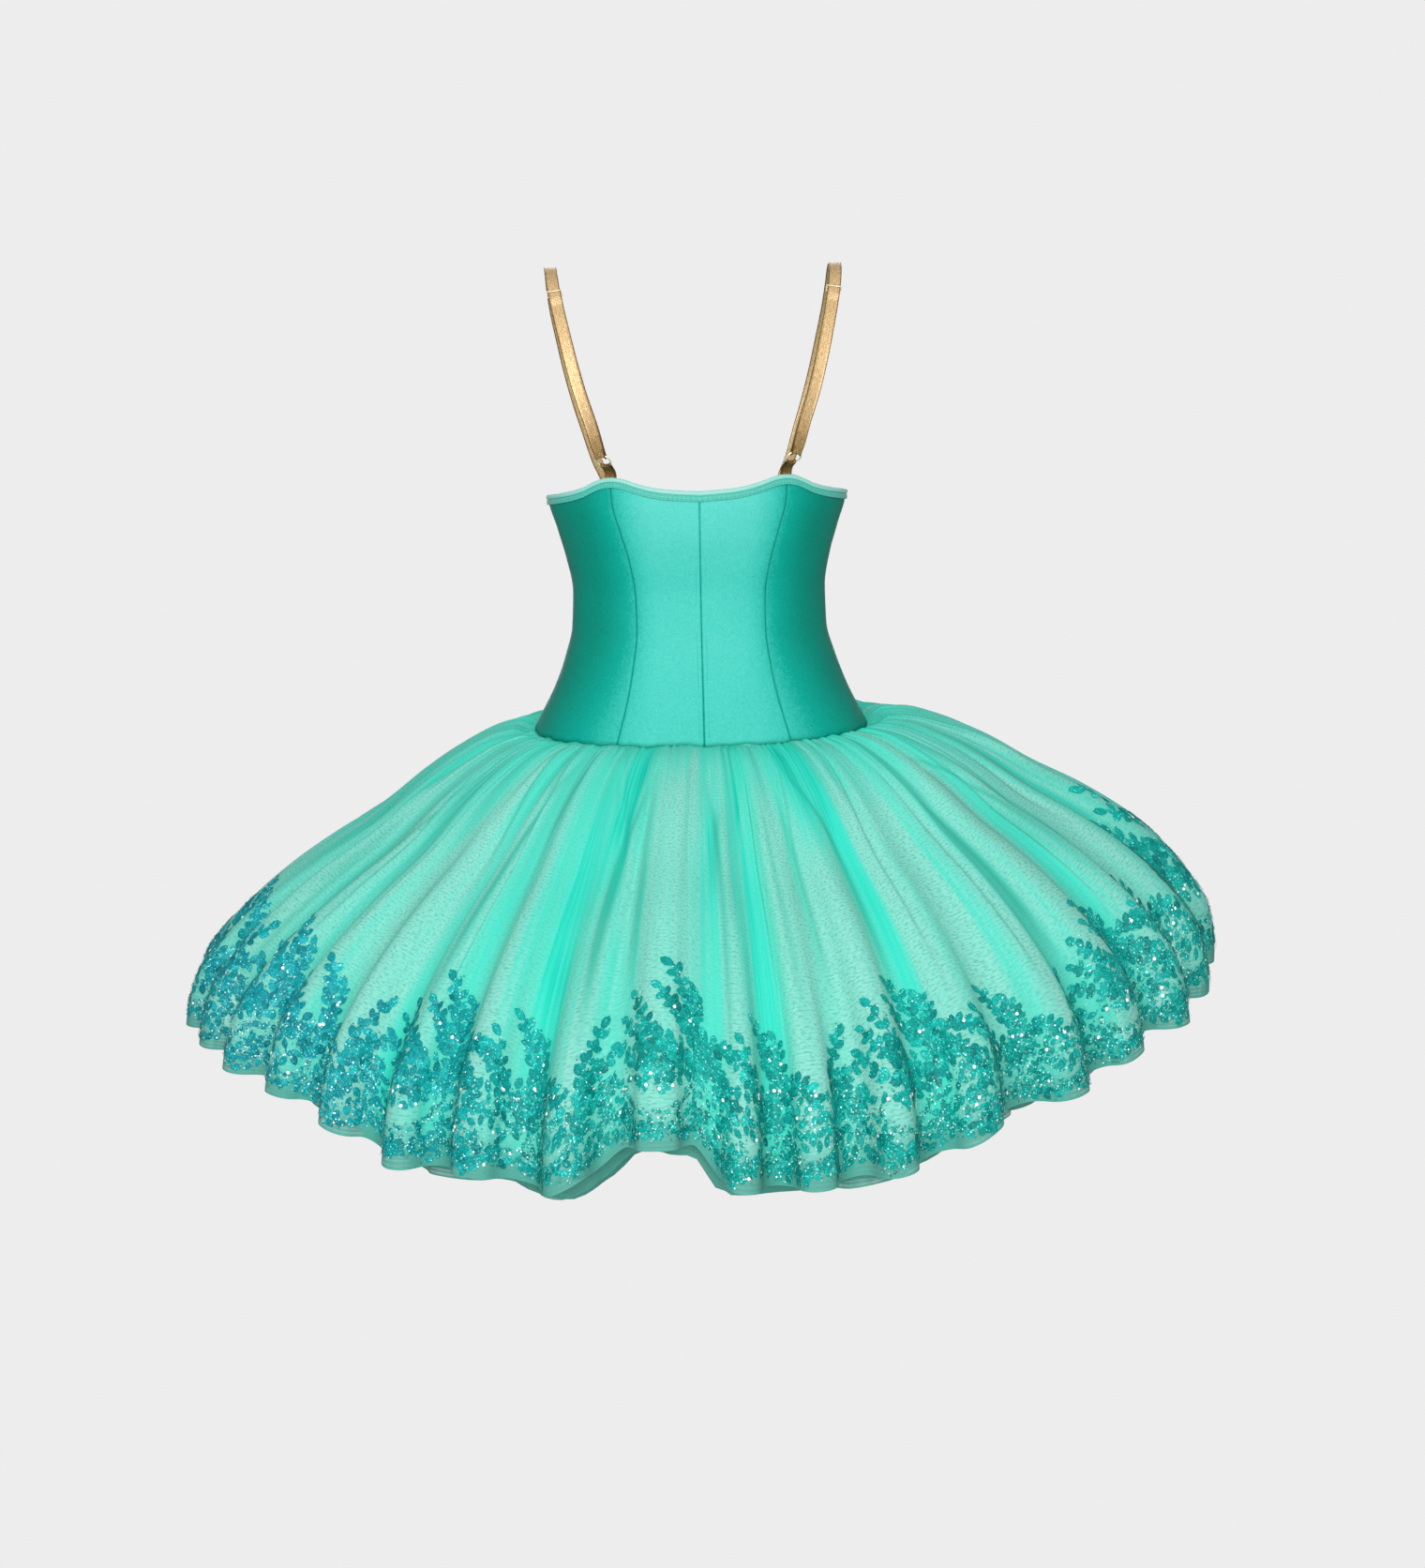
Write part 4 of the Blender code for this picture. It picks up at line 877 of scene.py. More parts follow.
class StrapRoute:
    """The middle line of one strap, by distance along it, with the strap's own directions."""

    def __init__(self, mirror):
        self.mirror = mirror
        back = self.sewn_end(STRAP_BACK_DEGREES, STRAP_BACK_INSET)
        front = self.sewn_end(STRAP_FRONT_DEGREES, STRAP_FRONT_INSET)[::-1]
        middle = [(p.x, p.y, p.z, math.radians(p.yaw)) for p in STRAP_ROUTE]
        rows = [*back, *middle, *[(x, y, z, yaw - math.pi) for x, y, z, yaw in front]]
        joined = hermite_path(np.array(rows), ROUTE_SAMPLES_PER_SPAN)
        self.points, self.yaws = joined[:, :3], joined[:, 3]
        self.distances = distances(step_lengths(self.points))
        self.length = self.distances[-1]
        index = np.arange(len(self.points))
        before = self.points[np.maximum(index - ROUTE_DIRECTION_SAMPLES, 0)]
        after = self.points[np.minimum(index + ROUTE_DIRECTION_SAMPLES, index[-1])]
        self.alongs = unit(after - before)

    def sewn_end(self, degrees, inset):
        """(x, y, z, yaw) of the end that is sewn inside the top edge, from below upwards."""
        angle = math.radians(degrees)
        edge = float(top_edge_drop(angle))
        found = []
        for above in STRAP_END_HEIGHTS:
            normal = torso_normal(angle, edge - above)
            point = torso(angle, edge - above) - inset * normal
            found.append((*point, math.atan2(normal[0], -normal[1])))
        return found

    def place(self, distance, across_by, out_by):
        """Points at distances along the strap, moved across it and out from it."""
        distance, across_by, out_by = np.broadcast_arrays(distance, across_by, out_by)
        clipped = np.clip(distance, 0, self.length)
        point, along = (
            np.stack([np.interp(clipped, self.distances, column) for column in rows.T], -1)
            for rows in (self.points, self.alongs)
        )
        yaw = np.interp(clipped, self.distances, self.yaws)
        along = unit(along)
        hint = np.stack([np.cos(yaw), np.sin(yaw), np.zeros_like(yaw)], -1)
        across = unit(hint - (hint * along).sum(-1, keepdims=True) * along)
        out = np.cross(across, along)
        placed = point + across * across_by[..., None] + out * out_by[..., None]
        return placed * (-1.0, 1.0, 1.0) if self.mirror else placed


def turn_round(centre, radius, start_degrees, end_degrees, steps=6):
    angles = np.radians(np.linspace(start_degrees, end_degrees, steps + 1))
    return [(centre[0] + radius * math.cos(a), centre[1] + radius * math.sin(a)) for a in angles]


def tab_path(ring):
    wire = ring - RING_RADIUS
    turn = RING_WIRE + RING_CLEARANCE + STRAP_THICKNESS / 2
    places = (STRAP_END_MARGIN, STRAP_SEWN_LENGTH, wire - TAB_CLOSED_FROM_RING)
    down = [(place, STRAP_LAYER_OFFSET) for place in places]
    up = [(place, -STRAP_LAYER_OFFSET) for place in reversed(places)]
    return down + turn_round((wire, 0.0), turn, 90, -90) + up


def straight(start, end, out, steps):
    """Evenly spaced points of a path after its start."""
    return [(mix(start, end, k / steps), out) for k in range(1, steps + 1)]


def strap_path(ring, slider, length):
    """The strap's way from its end on the slider's bar, down, round the ring and up over the shoulder."""
    bar_turn = SLIDER_BAR / 2 * math.sqrt(2) + RING_CLEARANCE + STRAP_THICKNESS / 2
    ring_turn = RING_WIRE + RING_CLEARANCE + STRAP_THICKNESS / 2
    wire = ring + RING_RADIUS
    closed = wire + STRAP_CLOSED_FROM_RING
    outer_start = slider + STRAP_OUTER_LAYER.along
    behind = [(slider + p.along, p.out) for p in STRAP_BEHIND_SLIDER]
    return [
        (slider - SLIDER_TAIL, SLIDER_OUT - bar_turn),
        *turn_round((slider, SLIDER_OUT), bar_turn, -90, 90),
        (slider - STRAP_BELOW_SLIDER_OUTSIDE, SLIDER_OUT + bar_turn),
        (outer_start, STRAP_OUTER_LAYER.out),
        *straight(outer_start, closed, STRAP_LAYER_OFFSET, 6),
        *turn_round((wire, 0.0), ring_turn, 90, 270),
        (closed, STRAP_INNER_LAYER.out),
        *straight(closed, slider + STRAP_INNER_LAYER.along, STRAP_INNER_LAYER.out, 6),
        *behind,
        *straight(behind[-1][0], length - STRAP_END_MARGIN, 0.0, 14),
    ]


def finer_path(path, step=0.0022):
    """A path of (distance, out) points with more points on its long straight runs."""
    found = [path[0]]
    for a, b in zip(path, path[1:]):
        parts = max(1, math.ceil(math.dist(a, b) / step))
        found += [(mix(a[0], b[0], k / parts), mix(a[1], b[1], k / parts)) for k in range(1, parts + 1)]
    return np.array(found)


def make_ribbon(name, route, path, width, material, ring, bends, darkness):
    """A flat elastic on its solid's path, with a raised cord along each edge."""
    path = finer_path(path)
    along = unit(np.gradient(path, axis=0))
    normal = np.stack([-along[:, 1], along[:, 0]], -1)
    across_shares = np.array(ELASTIC_COLUMNS)
    on_cord = np.abs(across_shares) > CORD_FROM
    edge_cord = np.where(on_cord, CORD_HEIGHT, -WEAVE_DIP)
    edge_cord[[0, -1]] = -ELASTIC_EDGE_DIP
    grids = []
    for side in (1, -1):
        thickness = side * (STRAP_THICKNESS / 2 + edge_cord)[None, :]
        distance = path[:, :1] + normal[:, :1] * thickness
        out = path[:, 1:] + normal[:, 1:] * thickness
        nearness = 1 - ease((np.abs(distance - ring) - RING_RADIUS) / RING_FADE)
        across = across_shares[None, :] * (width / 2 - RING_NARROWING * nearness)
        bend = RING_RADIUS - np.sqrt(RING_RADIUS**2 - across**2)
        grids.append(route.place(distance - bends * bend * nearness, across, out))
    points, faces = wall(*grids)
    walked = distances(step_lengths(path))
    cloth = np.stack(np.broadcast_arrays(across_shares * width / 2, walked[:, None]), -1).reshape(-1, 2)
    # Painted shade along the raised cords and near the ring, where the elastic turns round it
    near_ring = 1 - ease((np.abs(path[:, 0] - ring) - RING_SHADE_FROM) / RING_SHADE_FADE)
    shade = CORD_SHADE * on_cord[None, :] + darkness * near_ring[:, None]
    piece = make_piece(
        f"{name}_elastic", points, faces, material, "strap_elastic", [name],
        uv=np.tile(cloth, (2, 1))[faces.ravel()], values={"shade": np.tile(shade.ravel(), 2)}, solid=True,
    )


def make_ring(name, route, ring, material):
    around, tube = round_angles(56)[:, None], round_angles(16)[None, :]
    radius = RING_RADIUS + RING_WIRE * np.cos(tube)
    loops = route.place(ring + radius * np.cos(around), radius * np.sin(around), RING_WIRE * np.sin(tube))
    make_piece(f"{name}_wire", *hoop(loops), material, "gold_metal", [name], solid=True)


def make_slider(name, route, slider, material):
    """A flat frame of rails and three bars with rounded edges and two slots."""
    half, rail, bar, slot = SLIDER_WIDTH / 2, SLIDER_RAIL, SLIDER_BAR, SLIDER_SLOT
    bm = bmesh.new()
    across = (-half, -half + rail, half - rail, half)
    along = [-1.5 * bar - slot, -0.5 * bar - slot, -0.5 * bar, 0.5 * bar, 0.5 * bar + slot, 1.5 * bar + slot]
    grid = [[bm.verts.new((w, a, 0.0)) for w in across] for a in along]
    slots = {(1, 1), (3, 1)}
    kept = [(i, j) for i in range(5) for j in range(3) if (i, j) not in slots]
    faces = [bm.faces.new((grid[i][j], grid[i][j + 1], grid[i + 1][j + 1], grid[i + 1][j])) for i, j in kept]
    bmesh.ops.recalc_face_normals(bm, faces=faces)
    lifted = bmesh.ops.extrude_face_region(bm, geom=faces)["geom"]
    bmesh.ops.translate(bm, verts=[v for v in lifted if isinstance(v, bmesh.types.BMVert)], vec=(0, 0, bar))
    bmesh.ops.recalc_face_normals(bm, faces=bm.faces)
    sharp = [e for e in bm.edges if e.is_manifold and e.calc_face_angle(0) > math.radians(60)]
    bmesh.ops.bevel(bm, geom=sharp, offset=SLIDER_ROUNDING, segments=3, profile=0.5, affect="EDGES")
    flat = np.array([v.co for v in bm.verts])
    placed = route.place(slider + flat[:, 1], flat[:, 0], SLIDER_OUT - bar / 2 + flat[:, 2])
    for vert, point in zip(bm.verts, placed):
        vert.co = Vector(point)
    if route.mirror:
        bmesh.ops.reverse_faces(bm, faces=bm.faces)
    mesh = bpy.data.meshes.new(f"{name}_frame")
    bm.to_mesh(mesh)
    bm.free()
    mesh.shade_smooth()
    mesh.set_sharp_from_angle(angle=math.radians(40))
    place_piece(mesh, material, [name])


def make_straps(elastic, metal):
    ring = STRAP_SEWN_LENGTH + RING_HEIGHT_ABOVE_EDGE
    slider = ring + SLIDER_FROM_RING
    for side, mirror in (("right", False), ("left", True)):
        route = StrapRoute(mirror)
        path = strap_path(ring, slider, route.length)
        make_ribbon(f"strap_tab_{side}", route, tab_path(ring), TAB_WIDTH, elastic, ring, -1, 0.42)
        make_ribbon(f"strap_{side}", route, path, STRAP_WIDTH, elastic, ring, 1, 0.20)
        make_ring(f"strap_ring_{side}", route, ring, metal)
        make_slider(f"strap_slider_{side}", route, slider, metal)


# Skirt

# Creases, listed one by one: soft troughs as deep as their strength in metres, or ridges where it is
# negative.
# They run from a share near the waist to one near the hem, in degrees from the centre back. Each is steep
# on one side, the right where its edge is 1 and the left where it is -1, or even where it is 0.
Streak = namedtuple("Streak", "degrees_high degrees_low start end strength width edge")
CREASES = table(Streak, (
    (-33, -32, 0.1, 0.84, 0.0062, 0.01, 1), (-50, -50, 0.06, 0.7, 0.005, 0.009, 1),
    (-9, -12, 0.1, 0.8, 0.006, 0.011, -1), (-22, -14, 0.02, 0.6, 0.0048, 0.008, 0),
    (-42, -38, 0.03, 0.5, 0.003, 0.006, 0), (-63, -58, 0.05, 0.75, 0.0052, 0.011, 1),
    (-76, -70, 0.08, 0.9, -0.006, 0.013, -1), (-2, -3, 0.04, 0.55, 0.0034, 0.006, 1),
    (8, 7, 0.05, 0.9, 0.005, 0.009, -1), (17, 13, 0.02, 0.72, 0.0044, 0.007, 1),
    (22, 21, 0.2, 0.7, 0.004, 0.008, 0), (30, 26, 0.05, 0.8, 0.0052, 0.009, -1),
    (36, 37, 0.15, 0.85, 0.0062, 0.01, -1), (51, 50, 0.06, 0.26, 0.006, 0.006, 0),
    (57, 55, 0.2, 0.8, 0.0048, 0.01, -1), (70, 66, 0.06, 0.62, 0.004, 0.008, 0),
    (84, 80, 0.1, 0.85, -0.0055, 0.012, 1), (98, 95, 0.05, 0.7, 0.0052, 0.01, 1),
    (113, 110, 0.12, 0.88, 0.006, 0.011, -1), (127, 130, 0.04, 0.55, 0.0042, 0.008, 0),
    (141, 138, 0.1, 0.8, 0.0056, 0.01, 1), (156, 160, 0.06, 0.65, 0.0046, 0.009, -1),
    (170, 168, 0.05, 0.85, 0.006, 0.011, 1), (-168, -172, 0.1, 0.75, 0.0052, 0.009, -1),
    (-153, -150, 0.04, 0.6, 0.0044, 0.008, 0), (-139, -141, 0.12, 0.88, 0.006, 0.011, 1),
    (-124, -120, 0.05, 0.7, 0.005, 0.01, -1), (-108, -106, 0.08, 0.82, 0.0058, 0.01, 1),
    (-93, -96, 0.05, 0.55, 0.0044, 0.009, 0),
))

# Streaks where the cloth lies denser, or more open where the strength is negative, in the same way
STREAKS = table(Streak, (
    (-12, -14, -0.02, 0.6, 0.6, 0.024, 1), (-19, -18, 0.5, 0.98, 0.3, 0.02, 1),
    (-25, -21, 0.02, 0.82, 0.28, 0.04, 0), (-7, -8, 0.1, 0.92, -0.5, 0.032, -1),
    (-33, -36, 0.2, 0.9, -0.26, 0.03, 1), (-43, -44, 0.25, 0.9, -0.38, 0.04, 0),
    (-38, -39, 0.02, 0.5, 0.22, 0.02, -1), (-52, -54, 0.05, 0.72, 0.25, 0.026, 1),
    (-62, -62, 0.25, 0.9, -0.3, 0.036, -1), (-74, -72, 0.03, 0.92, 0.34, 0.034, 1),
    (-86, -88, 0.03, 0.92, 0.3, 0.04, 0), (8, 4, 0.04, 0.98, 0.3, 0.034, 1),
    (-2, -1, 0.15, 0.7, 0.2, 0.016, -1), (10, 9, 0.15, 0.95, -0.42, 0.024, -1),
    (16, 18, -0.02, 0.44, 0.58, 0.026, 0), (16, 15, 0.35, 0.95, -0.22, 0.02, 0),
    (24, 24, 0.12, 0.92, -0.4, 0.028, -1), (30, 27, -0.02, 0.74, 0.28, 0.02, 1),
    (35, 33, 0.2, 0.95, -0.48, 0.026, 1), (39, 39, 0.12, 0.8, 0.12, 0.02, -1),
    (45, 45, 0.15, 0.92, -0.38, 0.034, 0), (55, 54, 0.05, 0.85, 0.12, 0.03, 1),
    (64, 62, 0.2, 0.88, -0.26, 0.03, -1), (76, 74, 0.05, 0.9, 0.32, 0.036, 0),
    (92, 92, 0.1, 0.92, 0.24, 0.04, 1), (104, 103, 0.15, 0.9, -0.36, 0.036, 0),
    (116, 114, 0, 0.85, 0.4, 0.026, 1), (127, 128, 0.15, 0.9, -0.4, 0.034, -1),
    (139, 137, -0.02, 0.95, 0.44, 0.026, -1), (150, 151, 0.2, 0.92, -0.34, 0.036, 0),
    (162, 160, 0.02, 0.75, 0.38, 0.024, 1), (174, 176, 0.1, 0.92, -0.42, 0.032, -1),
    (-174, -172, -0.02, 0.9, 0.36, 0.024, 0), (-161, -162, 0.15, 0.92, -0.38, 0.036, 1),
    (-149, -146, 0, 0.85, 0.44, 0.026, -1), (-136, -137, 0.2, 0.9, -0.36, 0.036, 0),
    (-123, -121, 0.02, 0.88, 0.38, 0.028, 1), (-110, -111, 0.15, 0.92, -0.32, 0.034, -1),
    (-98, -97, 0.02, 0.8, 0.34, 0.03, 0),
))

# Thin lines where the cloth turns over, in the same way: painted fold shadows, or painted highlights where
# the strength is negative
LINES = table(Streak, (
    (-10.5, -14.6, 0.02, 0.8, 0.75, 0.0034, 0), (-5.5, -14.2, 0.1, 0.85, 0.9, 0.0042, 0),
    (-2.5, 1.2, 0.12, 0.92, 0.7, 0.0032, 0), (10.5, 4.2, 0.1, 0.9, -0.6, 0.003, 0),
    (11, 20.8, 0.06, 0.8, 0.85, 0.0036, 0), (22, 42, 0.24, 0.86, 1, 0.0056, 0),
    (8.7, 9.2, 0.1, 0.85, 0.55, 0.003, 0), (12, 13.2, 0.14, 0.8, 0.6, 0.003, 0),
    (-28, -33.5, 0.06, 0.88, 1, 0.0038, 0), (42, 57, 0.1, 0.72, 0.75, 0.004, 0),
    (-52, -60, 0.12, 0.8, 0.75, 0.0036, 0), (-66, -71, 0.2, 0.75, 0.55, 0.0036, 0),
    (24, 25.5, 0.25, 0.85, -0.6, 0.0034, 0), (-45, -44, 0.2, 0.8, -0.55, 0.004, 0),
))
STRAY_LINES = 120
TURN_SHARE = 0.42  # where a crease or streak has turned from its high direction to its low one
STEEP = 0.13  # how much narrower a crease or streak is on its steep side


def along_skirt(row, angle, share):
    """The shape of a crease or streak at places of the skirt, 1 in its middle."""
    middle = np.radians(mix(row.degrees_high, row.degrees_low, ease(0.5 + share / TURN_SHARE / 2) * 2 - 1))
    off = (angle - middle + math.pi) % TURN - math.pi
    reach = np.clip(share, 0, 1)
    spread = off * mix(WAIST_RADIUS, HEM_RADIUS, reach) / (row.width * (0.4 + 0.8 * reach))
    spread = np.where(spread * row.edge > 0, spread / STEEP, spread)
    length = row.end - row.start
    rise = ease((share - row.start) / (0.3 * length))
    fall = 1 - ease((share - row.start - 0.55 * length) / (0.45 * length))
    return rise * fall * np.exp(-(spread**2))


def strengths(rows, angle, share):
    """How much each crease or streak does at places of the skirt."""
    return [row.strength * along_skirt(row, angle, share) for row in rows]


def painted_fold_lines(angle, share, rng):
    """(dark, pale) strengths of the thin lines, listed ones and strays between them: painted fold shadows and
    painted highlights.
    """
    rows = list(LINES)
    for _ in range(STRAY_LINES):
        degrees = rng.uniform(-180, 180)
        first = rng.uniform(-0.02, 0.35)
        last = first + rng.uniform(0.25, 0.65)
        strength = rng.choice([-1, 1]) * rng.uniform(0.25, 0.65)
        slant = rng.normal(0, 2.5)
        rows.append(Streak(degrees, degrees + slant, first, last, strength, rng.uniform(0.0028, 0.0060), 0))
    found = strengths(rows, angle, share)
    return (np.clip(sum(np.maximum(sign * line, 0) for line in found), 0, 1) for sign in (1, -1))


def layer_shares(layer):
    body = np.linspace(0, 1, layer.rows - 2) ** 1.25 * layer.hem_share
    return np.concatenate([[ALLOWANCE_SHARE, ALLOWANCE_SHARE / 2], body])


def make_layer(layer, material):
    """One gathered layer of tulle as a single sheet that runs all round. Gives its grid of points."""
    rng = np.random.default_rng(SEED + layer.folds)
    count = layer.folds * layer.columns
    fold = (np.arange(count) / layer.columns)[None, :]
    share = layer_shares(layer)[:, None]
    angle, phase = fold_places(layer, fold)[:2]
    tucks = ripple(TUCKS, angle, rng) * ease(share / 0.006)
    tucks = tucks * (1 - 0.75 * ease((share - 0.01) / 0.10)) * (1 - ease((share - 0.06) / 0.40))
    uneven = 0.6 + SOFT_UNEVENNESS.height * ripple(SOFT_UNEVENNESS, angle, rng)
    soft = ripple(SOFT_FOLDS, angle, rng) * uneven * ease((share - 0.05) / 0.4)
    broad = ripple(BROAD_FOLDS, angle, rng) * ease(share / 0.3) * (1 - 0.6 * ease((share - 0.75) / 0.25))
    slack = np.clip(0.45 + SLACKNESS.height * ripple(SLACKNESS, angle, rng), 0, 0.9)
    extra = TUCKS.height * tucks + SOFT_FOLDS.height * soft + BROAD_FOLDS.height * broad
    extra = layer.detail * extra - slack * gather_wave(layer, fold, share)
    if layer is OVERLAY:
        extra = extra - sum(strengths(CREASES, angle, share))
    points = layer_surface(layer, fold, share, extra)
    density_and_painted_light = 0.26 + DENSITY.height * ripple(DENSITY, angle, rng) + 0.10 * soft
    density_and_painted_light = density_and_painted_light + 0.24 * (1 - ease(share / 0.30)) + 0.16 * tucks
    # Painted shade in the fold troughs: deeper colour and more opaque cloth there
    density_and_painted_light = density_and_painted_light - 0.20 * np.cos(TURN * phase) * ease(share / 0.5)
    line, doubled = np.zeros(density_and_painted_light.shape), np.zeros(density_and_painted_light.shape)
    if layer is OVERLAY:
        streaks = sum(strengths(STREAKS, angle, share))
        # Painted fold shadows go into the colour; painted highlight lines make the cloth paler
        line, pale = painted_fold_lines(angle, share, rng)
        density_and_painted_light = density_and_painted_light + streaks - 0.5 * pale
        # Painted shadows of the tucks just under the waist join the fold shadows
        line = np.clip(line + 0.8 * np.clip(-tucks - 0.5, 0, 1) * (1 - ease(share / 0.08)), 0, 1)
        doubled = ease((streaks - 0.06) / 0.20) * ease((share - 0.76) / 0.12)
    values = {"dense_and_painted_light": np.clip(density_and_painted_light, 0, 1), "line": line, "doubled": doubled}
    values["hem"] = ease((share - 0.92) / 0.07) * (1 - doubled)
    flat = (layer.cut_width, layer.cut_length)
    down = share[:, 0] * layer.cut_length / layer.hem_share
    piece = make_piece(
        f"{layer.name}_tulle", points, grid_faces(len(share), count, closed=True), material,
        layer.slot, [layer.name], uv=grid_uv(down, np.linspace(0, flat[0], count + 1)), values=values,
    )
    return points


# Lace border. A repeat is drafted flat, in millimetres: x along the hem and y up from it.
REPEAT = 350.0
REPEATS = 12
LACE_TURN = 0.30  # how far round the first repeat starts, in repeats
LEAF_SCALE = 1.18
LACE_SHARE = 0.93  # where the hem's round is measured for the repeats
Branch = namedtuple("Branch", "start bend tip nodes size turn")
BRANCHES = table(Branch, (
    ((168, 60), (184, 118), (140, 158), 10, 12.5, 0.85), ((158, 76), (118, 84), (94, 132), 8, 11.5, 0.85),
    ((172, 100), (150, 108), (126, 136), 6, 10.5, 0.85),
    ((176, 108), (184, 124), (176, 142), 4, 10.5, 0.85), ((146, 62), (104, 58), (68, 98), 7, 11, 0.85),
    ((112, 86), (96, 92), (78, 116), 4, 10, 0.85), ((168, 92), (228, 128), (256, 66), 11, 11, 0.95),
    ((170, 80), (206, 104), (226, 58), 9, 10.5, 0.95), ((290, 40), (308, 92), (268, 134), 9, 12, 0.85),
    ((288, 58), (258, 70), (242, 110), 6, 10.5, 0.85), ((298, 84), (306, 102), (298, 120), 4, 10, 0.85),
    ((294, 70), (332, 100), (350, 50), 8, 10.5, 0.9), ((26, 30), (10, 78), (40, 120), 8, 11.5, 0.85),
    ((22, 62), (30, 84), (58, 92), 5, 10.5, 0.85), ((24, 52), (48, 66), (66, 60), 4, 10, 0.9),
    ((70, 34), (110, 4), (154, 24), 8, 9.5, 0.85), ((184, 24), (222, 2), (262, 30), 8, 9.5, 0.85),
    ((286, 16), (326, 2), (362, 26), 7, 9.5, 0.85), ((62, 78), (40, 52), (62, 36), 6, 9.5, 0.85),
    ((196, 44), (222, 42), (232, 66), 5, 9.5, 0.85),
))
Window = namedtuple("Window", "x y half_width half_height")
WINDOWS = table(Window, ((122, 56, 38, 22), (262, 40, 27, 16), (338, 34, 18, 11)))
Flower = namedtuple("Flower", "x y radius petals")
FLOWERS = table(Flower, (
    (156, 70, 11, 7), (112, 78, 9.5, 6), (128, 68, 8.5, 5), (192, 82, 9.5, 6), (214, 64, 8.5, 5),
    (282, 62, 9, 6), (260, 56, 8, 5), (306, 78, 8.5, 5), (38, 60, 8.5, 5), (18, 38, 8, 6), (82, 30, 8, 6),
    (172, 34, 8.5, 6), (226, 26, 8, 6), (118, 18, 8, 5), (312, 28, 8, 6), (154, 112, 8.5, 5),
))
Hill = namedtuple("Hill", "height middle width")
FILL_HEIGHT = 62  # that the loose leaves reach over the hem, between the hills along it
FILL_HILLS = table(Hill, ((40, 176, 52), (24, 292, 26), (18, 28, 24)))
FILL_TRIES = 9000
LACE_CLIMBS = table(Hill, (  # where the border reaches higher by a share, in degrees from the first fold
    (0.5, 269, 14), (0.18, 94, 14), (-0.18, 228, 12),
))
LeafPoint = namedtuple("LeafPoint", "along aside up")
LEAF_SHAPE = table(LeafPoint, (
    (0, 0, 0), (0.2, -0.34, 0.1), (0.2, 0, 0.7), (0.2, 0.34, 0.1), (0.5, -0.52, 0.1), (0.5, 0, 1),
    (0.5, 0.52, 0.1), (0.8, -0.4, 0.1), (0.8, 0, 0.6), (0.8, 0.4, 0.1), (1.04, 0, 0),
))
LEAF_TRIS = ((0, 1, 2), (0, 2, 3), (7, 10, 8), (8, 10, 9))
LEAF_QUADS = ((1, 4, 5, 2), (2, 5, 6, 3), (4, 7, 8, 5), (5, 8, 9, 6))
LEAF_TONES = (0.14, 0.36)
LEAF_RISE = 0.0003
LACE_LIFT = 0.0006
STEM_STEPS = 12
STEM_HALF_WIDTH = 0.7
STEM_LIFT = 0.0005
SCATTERED_SEQUINS = 1500
LEAF_SEQUINS = 1250
# Sequins painted white as glints
PAINTED_GLINT_SEQUINS = 24
PAINTED_GLINT_RADIUS = 1.7
PAINTED_GLINT_TONE = 1.2
SEQUIN_LIFT = 0.0017
SEQUIN_LEAST_HEIGHT = 3.0
# The two highest sequin tones are painted glints
SEQUIN_TONES = (0.12, 0.34, 0.6, 0.82, 0.96)
SEQUIN_TONE_SHARES = (0.28, 0.34, 0.22, 0.12, 0.04)


def hills(rows, at):
    """The height of smooth hills at places."""
    return sum(row.height * np.exp(-(((at - row.middle) / row.width) ** 2)) for row in rows)


def lower_edge(x):
    """The scalloped lower edge of the lace over the hem."""
    return 2 + 9 * np.abs(np.sin(math.pi * (x - 18) / (REPEAT / 5)))


def in_window(x, y, margin=0.0):
    """Whether a place lies in one of the repeat's clear crescents."""
    found = np.zeros(np.shape(x), bool)
    for window in WINDOWS:
        for turn in (-REPEAT, 0.0, REPEAT):
            dx = (x - window.x - turn) / (window.half_width + margin)
            dy = (y - window.y) / (window.half_height + margin)
            found |= (dx**2 + dy**2 < 1) & (dy < 0.15 - 0.55 * (1 - dx**2) + margin / 30)
    return found


def window_edge(window, angle, beyond):
    """A place beyond a crescent's outline."""
    x = window.x + (window.half_width + beyond) * math.cos(angle)
    return x, window.y + (window.half_height + beyond) * math.sin(angle)


def branch_line(branch, t):
    """Points and headings along a branch."""
    start, bend, tip = (np.array(point, float) for point in (branch.start, branch.bend, branch.tip))
    t = np.asarray(t, float)[:, None]
    points = start * (1 - t) ** 2 + bend * 2 * t * (1 - t) + tip * t**2
    way = 2 * (bend - start) * (1 - t) + 2 * (tip - bend) * t
    return points, np.arctan2(way[:, 1], way[:, 0])


def ahead_of(x, y, heading, length):
    return x + length * math.cos(heading), y + length * math.sin(heading)


